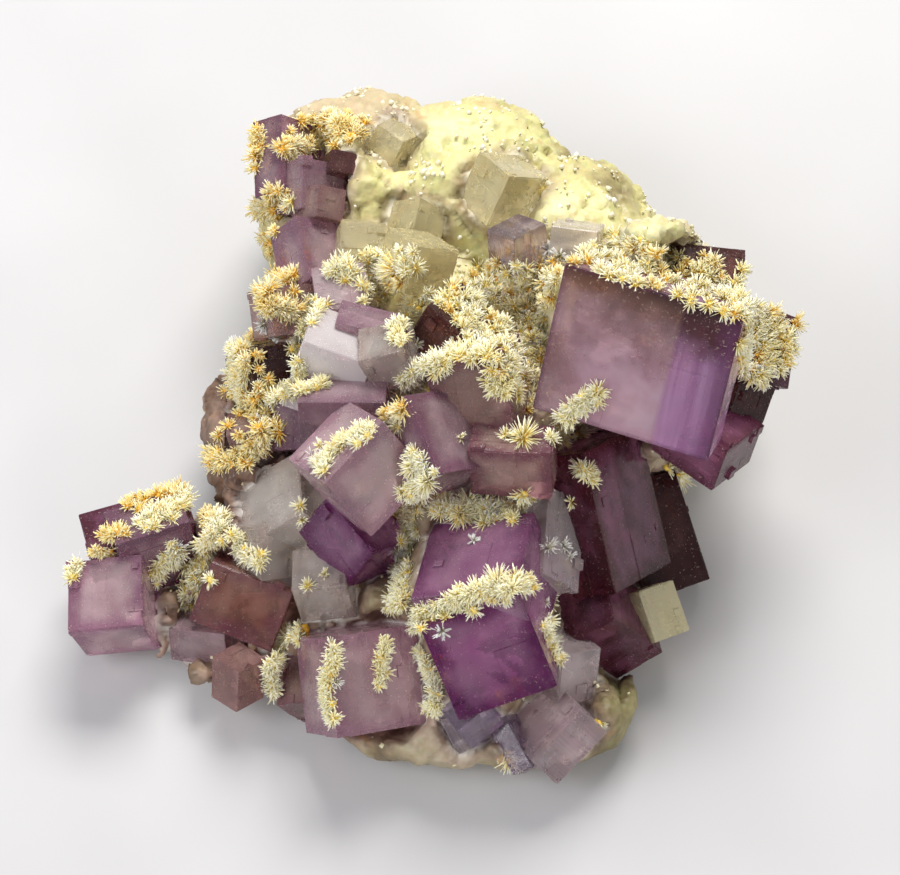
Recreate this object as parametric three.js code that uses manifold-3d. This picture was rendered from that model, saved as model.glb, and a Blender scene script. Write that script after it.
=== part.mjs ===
import * as THREE from "three";
import { ConvexGeometry } from "three/addons/geometries/ConvexGeometry.js";
import { mergeVertices } from "three/addons/utils/BufferGeometryUtils.js";
import Module from "manifold-3d";

// A hand-sized mineral specimen: purple fluorite cubes grown on a pale, lumpy
// matrix, with crusts of fine needles along the edges and in the clefts.
// Millimetres, +Z up. The specimen rests on the flat sawn underside of its matrix.

// ---------------------------------------------------------------- dimensions
// Point of the drawing that becomes the part's origin: middle of the underside.
const ORIGIN = [-1.554, 9.725, 0];
// Clearance kept between pieces that touch.
const GAP = 0.3;
// Height of the sawn underside in the drawing.
const UNDERSIDE = 0;
// Roughness of the matrix lumps, as a share of their radius.
const LUMP_RELIEF = 0.075;
// The way the crystals face out of the matrix.
const FACING = [0, -0.5, 0.866];
// The hollow that each crystal stands in: how far it reaches out from the
// crystal, and how much wider it gets to each side over that reach.
const HOLLOW_REACH = 15;
const HOLLOW_FLARE = 3.5;
// How far a needle crust is flattened against what it grows on.
const CRUST_FLATTEN = 0.85;

// Each crystal is a block: centre x, y, z; turn as a quaternion x, y, z, w; edge
// lengths a, b, c. Blocks of one group grow into each other and are one solid.
const CRYSTALS = {
  large_fluorite_cube: [
    [23.758, 4.922, 37.011, 0.88525, -0.15474, 0.09237, -0.42878, 22.48, 19.22, 7.26],
  ],
  right_fluorite_group: [
    [32.392, 1.884, 21.802, 0.70471, 0.17084, -0.41195, -0.55181, 8.48, 6.5, 9.65],
    [36.061, 8.795, 22.689, 0.47715, 0.06028, 0.57584, 0.66114, 6.58, 6.58, 7.61],
    [37.572, 12.695, 26.377, 0.89663, 0.0036, -0.39531, -0.19944, 9.28, 9.28, 7.5],
    [31.869, 16.287, 34.552, 0.9949, -0.04272, -0.03623, -0.08388, 7.79, 7.79, 7.21],
  ],
  front_fluorite_group: [
    [19.766, -5.291, 15.528, 0.24228, 0.39979, 0.25321, 0.84697, 13.69, 18.26, 6.49],
    [26.901, -3.734, 6.276, 0.21848, -0.14141, 0.79672, 0.54545, 14.86, 8.49, 4.39],
    [20.066, -16.582, 7.348, -0.04332, 0.885, -0.11552, -0.44895, 10.92, 9.25, 7.11],
    [12.161, -11.055, 17.937, 0.90703, -0.01222, -0.41329, -0.07964, 6.85, 11.42, 5.48],
    [4.594, -18.052, 18.901, 0.96836, -0.06915, 0.17179, 0.16727, 13.45, 13.45, 11.25],
    [4.871, -25.083, 17.233, -0.09209, -0.39397, 0.89999, -0.16227, 12.86, 12.86, 7.52],
    [14.469, -23.903, 8.803, 0.85346, 0.08448, -0.26533, -0.44053, 5.7, 7.13, 6.2],
    [13.12, -31.562, 6.319, 0.4351, 0.83513, 0.04302, 0.33375, 8.84, 8.84, 5.19],
    [8.119, -33.252, 5.951, 0.79315, -0.51223, 0.05152, -0.3254, 6.85, 2.85, 3.73],
    [2.78, -31.422, 10.279, 0.72348, 0.32752, -0.06984, -0.60369, 5.08, 5.08, 4.18],
    [1.765, -32.043, 8.189, 0.96949, 0.20986, 0.12464, -0.02278, 4.23, 4.23, 4.47],
    [25.59, -15.234, 6.238, 0.9424, 0.20686, -0.16676, -0.2032, 5.01, 6.68, 7.58],
  ],
  centre_fluorite_group: [
    [7.776, -4.528, 27.298, 0.79648, -0.02049, 0.08528, -0.59828, 9.95, 7.48, 5.15],
    [3.675, 4.778, 29.408, 0.9021, 0.03405, 0.16931, -0.39546, 10, 10, 8.64],
    [-1.835, -2.495, 28.076, 0.92301, 0.22584, -0.30589, -0.05901, 10.69, 10.69, 7.33],
    [0.837, 12.05, 28.631, -0.46557, -0.28802, 0.78403, -0.29255, 8.91, 8.91, 7.46],
    [-11.284, -5.466, 27.108, 0.08617, -0.46013, 0.7922, -0.3915, 10.35, 10.35, 9.73],
    [-11.631, -9.416, 16.992, 0.20568, -0.43289, 0.24958, 0.84144, 7.55, 9.34, 8.46],
    [-14.92, 9.84, 25.938, 0.9621, -0.10126, -0.13547, 0.21392, 8.84, 8.84, 10.12],
    [-10.464, 13.669, 28.064, 0.9808, -0.0862, -0.08176, 0.15464, 8.06, 4.48, 4.42],
    [-13.269, 3.563, 23.991, 0.82198, 0.00079, 0.01288, -0.56937, 10.81, 10.81, 7.43],
    [-7.454, 8.833, 30.015, 0.77516, 0.14278, 0.12971, -0.6016, 5.95, 5.95, 5.58],
    [-23.906, 13.628, 18.328, 0.91007, 0.11759, -0.23112, -0.32329, 6.83, 6.83, 7.63],
    [-19.455, 6.336, 17.447, 0.92285, -0.07235, 0.30454, -0.22442, 6.66, 6.66, 6.39],
    [-25.761, 5.574, 16.047, 0.84144, 0.1094, 0.04326, -0.52738, 4.75, 4.75, 5.6],
    [-20.559, -4.185, 13.156, -0.32372, 0.06233, 0.94138, -0.07164, 9.89, 9.89, 7.37],
    [-22.772, -9.928, 11.993, 0.91419, 0.12112, -0.28995, -0.25595, 6.17, 8.22, 4.28],
    [-15.791, -14.382, 13.132, 0.76047, 0.06105, 0.05605, -0.64406, 6.75, 6.75, 6.23],
    [-26.049, -14.331, 8.336, 0.92175, -0.1864, -0.02375, -0.3392, 10.88, 8.06, 7.55],
    [-31.289, -16.9, 3.595, 0.86199, -0.04235, 0.13987, -0.4854, 7.67, 4.8, 5.73],
  ],
  lower_left_fluorite_pair: [
    [-11.171, -25.903, 9.357, 0.25576, 0.20278, 0.1181, 0.93783, 12.25, 12.25, 9.6],
    [-17.259, -24.405, 3.852, 0.97746, -0.04636, 0.20302, -0.03472, 6.55, 6.55, 6.6],
  ],
  top_left_fluorite_group: [
    [-21.428, 43.216, 22.838, -0.64025, 0.68333, -0.11679, 0.33091, 10.51, 4.79, 8.18],
    [-18.412, 38.323, 23.856, 0.92959, 0.04012, -0.29579, -0.21626, 6.6, 6.6, 6.5],
    [-17.107, 34.74, 25.349, 0.927, 0.023, -0.31425, -0.20341, 4.24, 4.24, 5.69],
    [-14.847, 40.466, 25.754, 0.9699, -0.0117, -0.19269, -0.14843, 3.48, 2.9, 5.21],
  ],
  upper_left_fluorite_group: [
    [-18.107, 27.548, 23.14, 0.68092, -0.5881, 0.22913, -0.37147, 9.15, 5.6, 6.96],
    [-14.01, 20.473, 25.107, 0.99668, 0.06944, -0.00128, -0.04244, 6.43, 6.43, 6.38],
    [-21.477, 19.456, 23.359, 0.94325, 0.11796, -0.21196, -0.2268, 6.17, 6.17, 6.36],
    [-11.745, 28.094, 24.67, 0.98759, -0.00593, -0.0905, -0.1282, 5.73, 5.73, 6.43],
  ],
  upper_pale_fluorite: [
    [-4.215, 23.902, 28.195, 0.86281, -0.01826, -0.3025, -0.40462, 6.44, 6.44, 7.57],
  ],
  arm_fluorite_group: [
    [-42.751, -15.049, 8.367, -0.08367, -0.05408, 0.99492, -0.01432, 9.4, 9.4, 8.84],
    [-39.65, -5.799, 9.303, 0.9835, 0.15016, 0.02434, 0.09791, 13.68, 6.51, 7.67],
    [-38.277, -7.239, 10.113, 0.79759, 0.13757, -0.13848, -0.57074, 9.6, 9.6, 6.54],
  ],
  low_beige_crystal: [
    [-26.724, -24.128, 6.243, 0.13565, 0.21688, 0.88893, -0.37995, 4.78, 4.72, 6.16],
  ],
  small_clear_fluorite: [
    [8.705, 25.482, 29.584, 0.81755, 0.22017, -0.29463, -0.4431, 5.63, 5.63, 5.05],
  ],
  small_grey_crystal: [
    [16.079, 25.515, 30.195, 0.91992, -0.07812, 0.06377, -0.37892, 5.92, 4.94, 5.57],
  ],
  beige_crystal: [
    [6.934, 36.312, 26.503, 0.78794, -0.00937, -0.37541, -0.48798, 7.29, 7.29, 6.42],
  ],
  grey_beige_crystal: [
    [-4.445, 32.261, 24.397, 0.90105, -0.0667, -0.39557, -0.16487, 5.11, 5.11, 5.17],
  ],
  olive_grey_crystal: [
    [-7.591, 45.038, 24.949, 0.84047, -0.31468, 0.0977, -0.43016, 4.22, 4.22, 5.25],
  ],
};

// The matrix is a mass of overlapping lumps: centre x, y, z and radii a, b, c.
const LUMPS = [
  [0, 9, 9, 29, 33, 16],
  [15, 33, 13.5, 14.5, 14.5, 14],
  [26, 22, 12, 12.5, 13, 19],
  [-12, 42, 14, 14, 16, 14],
  [2, 41.5, 14, 15, 15, 14.5],
  [24, 17, 18, 12, 11, 26],
  [22, 9, 12, 9.5, 12, 13],
  [0, -19, 5.5, 23, 15.5, 8.5],
  [10, -22, 5, 14, 14.3, 8],
  [-26, -13, 6.5, 13, 11.5, 8.5],
  [-35, -14, 8, 10, 8.5, 5.5],
  [-15, 25, 12, 9.5, 15, 11],
  [-21, 8, 10, 10.5, 15, 10],
];

// Needle crusts: the middle of each tuft, and how far its needle tips reach.
const CRUSTS = {
  upper_right_needles: { reach: 2.65, at: [
    [17.46, 14.72, 44.28], [19.5, 14.8, 43.72], [21.55, 14.87, 43.16], [25.15, 13.18, 43.53],
    [27.24, 12.14, 43.78], [29.32, 11.11, 44.03], [31.17, 9.75, 44.58], [33.01, 8.39, 45.13],
    [23.07, 15.28, 44.42],
  ] },
  upper_right_needles_2: { reach: 2.65, at: [
    [40.33, 14.45, 31.52], [43.14, 14.87, 28.48], [40.89, 12.79, 29.9], [42.01, 11, 27.54],
    [40.33, 7.94, 27.72],
  ] },
  upper_right_needles_3: { reach: 2.65, at: [
    [30.84, 18.73, 39.5], [33.84, 18.84, 39.32], [35.82, 18.12, 39.07],
  ] },
  upper_right_needles_4: { reach: 2.65, at: [
    [37.21, 7.58, 42.12], [36.25, 4.87, 40.48],
  ] },
  centre_field_needles: { reach: 2.4, at: [
    [-1.58, 7.05, 33.67], [1.76, 7.44, 34.22], [4.58, 6.24, 36.18], [7.23, 4.35, 36.11],
    [6, 1.58, 34.84],
  ] },
  centre_field_needles_2: { reach: 2.4, at: [
    [-0.43, 14.8, 34.35], [3.33, 13.96, 32.87], [5.82, 10.84, 32.44], [9.21, 10.22, 31.76],
  ] },
  centre_field_needles_3: { reach: 2.4, at: [
    [2.61, 24.2, 23.25], [5.87, 25.33, 22.73], [8.9, 23.46, 22.37], [12.27, 23.06, 23.52],
  ] },
  centre_field_needles_4: { reach: 2.4, at: [
    [9.84, 5.36, 28.94], [9.15, 1.39, 30.02], [7.6, -2.1, 31.22], [9.3, -3.56, 31.77],
  ] },
  centre_field_needles_5: { reach: 2.4, at: [
    [6.42, 19.42, 24.31], [9.74, 19.09, 23.87], [11.68, 18.52, 24.41],
  ] },
  centre_field_needles_6: { reach: 2.4, at: [
    [-4.95, 18.72, 23.88], [-2.62, 21.26, 23.77],
  ] },
  centre_field_needles_7: { reach: 2.4, at: [
    [11.61, 14.2, 24.63], [10.23, 10.72, 25.33],
  ] },
  large_cube_foot_needles: { reach: 2.2, at: [
    [15.57, -0.84, 33.38], [17.96, 0.1, 35.64],
  ] },
  large_cube_foot_needles_2: { reach: 2.2, at: [
    [16.12, -5.2, 25.67], [18.06, -5.64, 24.79],
  ] },
  centre_column_needles: { reach: 2.3, at: [
    [-4.76, -7.48, 22.73], [-4.91, -9.33, 19.48], [-4.99, -10.88, 16.03], [-6.47, -13.25, 15.02],
  ] },
  centre_column_needles_2: { reach: 2.3, at: [
    [-7.73, -0.97, 32.82], [-6.23, -1.75, 34.15],
  ] },
  centre_column_needles_3: { reach: 2.3, at: [
    [-5.01, -6.75, 31.55], [-3.41, -9.65, 31.22],
  ] },
  middle_band_needles: { reach: 2.3, at: [
    [-1.76, -8.33, 22.73], [1.04, -9.35, 22.42], [4.01, -9.54, 22.22], [6.97, -8.9, 22.04],
    [9.44, -6.42, 21.31],
  ] },
  front_band_needles: { reach: 2.4, at: [
    [-1.8, -23.24, 23.48], [1.36, -23.21, 25.57], [4.5, -23.29, 27.32], [7.34, -21.71, 28.42],
  ] },
  front_left_needles: { reach: 2.1, at: [
    [-3.77, -24.09, 13.28], [-3.21, -27.33, 13.01], [-1.72, -30.18, 12.15], [-3.02, -29.83, 9.72],
    [-1.72, -31.47, 11.26],
  ] },
  lower_left_needles: { reach: 2.3, at: [
    [-14.05, -26.54, 17.7], [-15.48, -29, 15.34], [-15.52, -31.27, 12.94], [-15.01, -33.83, 11.73],
  ] },
  lower_left_needles_2: { reach: 2.3, at: [
    [-7.96, -23.7, 15.85], [-8.21, -26.14, 14.64], [-8.45, -28.8, 13.32],
  ] },
  lower_left_needles_3: { reach: 2.3, at: [
    [-19.65, -19.54, 9.52], [-22.26, -22.41, 8.63],
  ] },
  front_right_needles: { reach: 2.0, at: [
    [12.55, -21.95, 12.81], [12.77, -25.15, 13.03],
  ] },
  arm_needles: { reach: 2.5, at: [
    [-43.95, -8.03, 14.04], [-41.12, -7.83, 15.92], [-38.98, -7.58, 15.98], [-36.24, -4.89, 15.27],
    [-33.93, -2.37, 13.76], [-40.99, -2.67, 13.26], [-38.35, -2.31, 14.29],
  ] },
  arm_needles_2: { reach: 2.5, at: [
    [-29.53, -7.29, 14.52], [-27.64, -8.29, 15.04], [-25.96, -11.1, 13.64],
  ] },
  arm_needles_3: { reach: 2.5, at: [
    [-31.99, -7.26, 7.94], [-32.44, -9.88, 6.72], [-34.58, -12.81, 4.41],
  ] },
  arm_needles_4: { reach: 2.5, at: [
    [-34.4, -9.3, 12.41], [-36.08, -11.13, 9.33],
  ] },
  left_edge_needles: { reach: 2.5, at: [
    [-24.1, 6.11, 19.69], [-23.26, 3.73, 18.44], [-30.53, 3.34, 14.58], [-28.46, 1.44, 15.71],
    [-26.05, 1.84, 16.53],
  ] },
  left_edge_needles_2: { reach: 2.5, at: [
    [-25.33, 14.32, 23.53], [-27.37, 13.71, 21.5], [-27.43, 11.75, 19.28], [-26.32, 10.25, 16.86],
  ] },
  left_inner_needles: { reach: 2.2, at: [
    [-18.43, 4.31, 30.14], [-15.6, 5.4, 29.78], [-18.82, 6.32, 29.38], [-19.03, 7.13, 30.94],
  ] },
  middle_left_needles: { reach: 2.2, at: [
    [-16.14, -7.97, 32], [-14.45, -6, 32.47], [-12.49, -4.85, 33.42], [-10.26, -4.53, 34.82],
  ] },
  upper_left_edge_needles: { reach: 2.6, at: [
    [-22.42, 19.29, 28.7], [-22.41, 17.66, 27.94], [-20.43, 17.51, 26.75],
  ] },
  top_left_needles: { reach: 2.5, at: [
    [-18.77, 44.95, 24.92], [-16.35, 45.95, 25.2], [-16.36, 47.67, 25.96], [-13.92, 46.26, 27.65],
  ] },
  upper_field_needles: { reach: 2.4, at: [
    [-8.85, 22.31, 27.76], [-7.02, 21.84, 30.36], [-10.69, 24.57, 27.74], [-9.16, 25.25, 27.64],
  ] },
};

const FLUORITE = 0x7b5582;
const COLOURS = {
  large_fluorite_cube: 0x8a6390,
  beige_crystal: 0xb7a27c,
  grey_beige_crystal: 0x9b8d78,
  olive_grey_crystal: 0x8f8a66,
  low_beige_crystal: 0xb3a583,
  small_grey_crystal: 0xb5b0a6,
  small_clear_fluorite: 0xc4aed0,
  front_fluorite_group: 0x6b4479,
  upper_pale_fluorite: 0xa59a88,
  arm_fluorite_group: 0x9a6f8c,
  lower_left_fluorite_pair: 0x9a7f90,
};
const MATRIX_COLOUR = 0xcfc49a;
const NEEDLE_COLOUR = 0xe8dba6;

// ------------------------------------------------------------------- helpers
const wasm = await Module();
wasm.setup();

// A closed three.js geometry as a solid that can be joined and cut.
function solid(geometry) {
  const g = geometry.clone();
  g.deleteAttribute("normal");
  g.deleteAttribute("uv");
  const merged = mergeVertices(g, 1e-4);
  return new wasm.Manifold(
    new wasm.Mesh({
      numProp: 3,
      vertProperties: new Float32Array(merged.attributes.position.array),
      triVerts: new Uint32Array(merged.index.array),
    }),
  );
}

// The solid's largest connected body as a geometry: chips that a cut leaves
// loose are dropped.
function geometryOf(body) {
  const mesh = body.getMesh();
  const raw = new THREE.BufferGeometry();
  const positions = [];
  for (let i = 0; i < mesh.vertProperties.length; i += mesh.numProp)
    positions.push(
      mesh.vertProperties[i],
      mesh.vertProperties[i + 1],
      mesh.vertProperties[i + 2],
    );
  raw.setAttribute("position", new THREE.Float32BufferAttribute(positions, 3));
  raw.setIndex([...mesh.triVerts]);
  const g = mergeVertices(raw, 1e-3);
  const p = g.attributes.position;
  const index = [];
  for (let t = 0; t < g.index.count; t += 3) {
    const [a, b, c] = [g.index.getX(t), g.index.getX(t + 1), g.index.getX(t + 2)];
    if (a !== b && b !== c && c !== a) index.push(a, b, c);
  }
  const parent = Array.from({ length: index.length / 3 }, (_, i) => i);
  const find = (i) => {
    while (parent[i] !== i) i = parent[i] = parent[parent[i]];
    return i;
  };
  const acrossEdge = new Map();
  for (let t = 0; t < index.length / 3; t++)
    for (let e = 0; e < 3; e++) {
      const [u, v] = [index[3 * t + e], index[3 * t + ((e + 1) % 3)]];
      const key = u < v ? `${u} ${v}` : `${v} ${u}`;
      if (acrossEdge.has(key)) parent[find(t)] = find(acrossEdge.get(key));
      else acrossEdge.set(key, t);
    }
  const volume = new Map();
  const [a, b, c] = [new THREE.Vector3(), new THREE.Vector3(), new THREE.Vector3()];
  for (let t = 0; t < index.length / 3; t++) {
    a.fromBufferAttribute(p, index[3 * t]);
    b.fromBufferAttribute(p, index[3 * t + 1]);
    c.fromBufferAttribute(p, index[3 * t + 2]);
    const root = find(t);
    volume.set(root, (volume.get(root) ?? 0) + a.dot(b.cross(c)) / 6);
  }
  const largest = [...volume].sort((u, v) => v[1] - u[1])[0][0];
  const kept = [];
  for (let t = 0; t < index.length / 3; t++)
    if (find(t) === largest) kept.push(...index.slice(3 * t, 3 * t + 3));
  g.setIndex(kept);
  return g;
}

function join(solids) {
  return solids.reduce((all, one) => all.add(one));
}

// One crystal block, larger all round by grow.
function block([x, y, z, qx, qy, qz, qw, a, b, c], grow = 0) {
  const g = new THREE.BoxGeometry(a + 2 * grow, b + 2 * grow, c + 2 * grow);
  g.applyQuaternion(new THREE.Quaternion(qx, qy, qz, qw).normalize());
  g.translate(x, y, z);
  return solid(g);
}

// The flaring hollow in front of a crystal block, which the matrix leaves free.
function hollow([x, y, z, qx, qy, qz, qw, a, b, c]) {
  const turn = new THREE.Quaternion(qx, qy, qz, qw).normalize();
  const out = new THREE.Vector3(...FACING).normalize().multiplyScalar(HOLLOW_REACH);
  const points = [];
  for (const [grow, shift] of [[GAP, 0], [HOLLOW_FLARE, 1]])
    for (const i of [-1, 1])
      for (const j of [-1, 1])
        for (const k of [-1, 1])
          points.push(
            new THREE.Vector3(i * (a / 2 + grow), j * (b / 2 + grow), k * (c / 2 + grow))
              .applyQuaternion(turn)
              .add(new THREE.Vector3(x, y, z))
              .addScaledVector(out, shift),
          );
  return solid(new ConvexGeometry(points));
}

// Smooth, repeatable unevenness for a direction on lump number k.
function relief(d, k) {
  return (
    0.5 * Math.sin(4.1 * d.x + 1.7 * k) * Math.cos(3.3 * d.y - 0.9 * k) +
    0.35 * Math.sin(7.9 * d.y + 2.3 * k + 2.1 * d.z) +
    0.25 * Math.cos(11.3 * d.z - 1.1 * k + 4.7 * d.x)
  );
}

// One matrix lump, larger all round by grow.
function lump([x, y, z, a, b, c], k, grow = 0) {
  const g = new THREE.IcosahedronGeometry(1, Math.max(a, b, c) > 24 ? 3 : 2);
  const p = g.attributes.position;
  const d = new THREE.Vector3();
  for (let i = 0; i < p.count; i++) {
    d.fromBufferAttribute(p, i).normalize();
    const s = 1 + LUMP_RELIEF * relief(d, k);
    p.setXYZ(
      i,
      x + d.x * (a * s + grow),
      y + d.y * (b * s + grow),
      z + d.z * (c * s + grow),
    );
  }
  return solid(g);
}

// One tuft of needles: the faceted outline that its tips reach.
function tuft([x, y, z], reach, k, grow = 0) {
  const g = new THREE.OctahedronGeometry(1.25, 0);
  g.applyMatrix4(
    new THREE.Matrix4().makeRotationFromEuler(new THREE.Euler(k * 1.3, k * 0.7, k * 2.1)),
  );
  const r = reach * (1 + 0.08 * Math.sin(5.3 * k)) + grow;
  g.scale(r, r, r * CRUST_FLATTEN);
  g.translate(x, y, z);
  return solid(g);
}

function piece(name, body, colour, roughness, extra = {}) {
  const mesh = new THREE.Mesh(
    geometryOf(body),
    new THREE.MeshStandardMaterial({ color: colour, roughness, metalness: 0, ...extra }),
  );
  mesh.name = name;
  return mesh;
}

// --------------------------------------------------------------------- build
const specimen = new THREE.Group();
specimen.name = "fluorite_specimen";

// Everything above the sawn underside.
const above = solid(new THREE.BoxGeometry(400, 400, 200).translate(0, 0, UNDERSIDE + 100));

// Crystals: each group is one solid, and stops a hair short of the groups
// that were there before it.
const grownBefore = [];
for (const [name, blocks] of Object.entries(CRYSTALS)) {
  let body = join(blocks.map((b) => block(b)));
  for (const grown of grownBefore) body = body.subtract(grown);
  body = body.intersect(above);
  specimen.add(
    piece(name, body, COLOURS[name] ?? FLUORITE, 0.25, { transparent: true, opacity: 0.85 }),
  );
  for (const b of blocks) grownBefore.push(block(b, GAP));
}
const allCrystals = join(grownBefore);

// The matrix fills in below and between the crystals.
const hollows = join(Object.values(CRYSTALS).flat().map(hollow));
const rock = (grow) =>
  join(LUMPS.map((l, k) => lump(l, k, grow))).subtract(hollows);
const matrix = rock(0).intersect(above).subtract(allCrystals);
specimen.add(piece("matrix", matrix, MATRIX_COLOUR, 0.85));

// Needle crusts lie on the crystals and the matrix.
const [dx, dy, dz] = FACING.map((v) => v * GAP * 1.2);
const rockAndGap = rock(GAP).add(rock(0).translate([dx, dy, dz]));
let crustsBefore = null;
for (const [name, { reach, at }] of Object.entries(CRUSTS)) {
  let body = join(at.map((c, k) => tuft(c, reach, k)))
    .subtract(allCrystals)
    .subtract(rockAndGap)
    .intersect(above);
  if (crustsBefore) body = body.subtract(crustsBefore);
  specimen.add(piece(name, body, NEEDLE_COLOUR, 0.8));
  const grown = join(at.map((c, k) => tuft(c, reach, k, GAP)));
  crustsBefore = crustsBefore ? crustsBefore.add(grown) : grown;
}

specimen.position.set(-ORIGIN[0], -ORIGIN[1], -ORIGIN[2]);

export default specimen;
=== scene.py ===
import bpy
import bmesh
import math
import random
import numpy as np
from mathutils import Matrix, Quaternion, Vector, noise
from mathutils.bvhtree import BVHTree


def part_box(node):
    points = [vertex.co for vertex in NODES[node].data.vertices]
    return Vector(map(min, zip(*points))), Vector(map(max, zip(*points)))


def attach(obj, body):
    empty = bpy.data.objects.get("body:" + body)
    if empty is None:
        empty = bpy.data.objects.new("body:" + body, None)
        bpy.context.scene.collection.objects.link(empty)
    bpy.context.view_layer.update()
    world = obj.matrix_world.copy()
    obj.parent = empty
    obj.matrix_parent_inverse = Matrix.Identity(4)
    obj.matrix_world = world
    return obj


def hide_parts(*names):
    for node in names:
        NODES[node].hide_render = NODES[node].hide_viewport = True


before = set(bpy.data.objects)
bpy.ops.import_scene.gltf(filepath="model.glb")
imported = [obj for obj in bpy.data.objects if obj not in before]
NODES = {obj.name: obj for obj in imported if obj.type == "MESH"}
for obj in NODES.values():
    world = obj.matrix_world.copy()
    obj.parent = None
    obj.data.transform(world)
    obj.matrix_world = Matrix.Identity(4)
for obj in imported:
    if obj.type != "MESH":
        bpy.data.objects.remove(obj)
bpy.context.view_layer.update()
MM = 0.001
scene = bpy.context.scene

# ---------------------------------------------------------------- tables (mm)
# The way the crystals face, and the camera's place: all in the part's frame.
FACING = np.array([0.0, -0.5, 0.8660254])
RIGHT = np.array([1.0, 0.0, 0.0])
UPWARD = np.array([0.0, 0.8660254, 0.5])
TARGET = np.array([1.554, -9.725, 25])
DISTANCE = 400.0
PIXEL = 0.125

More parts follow.
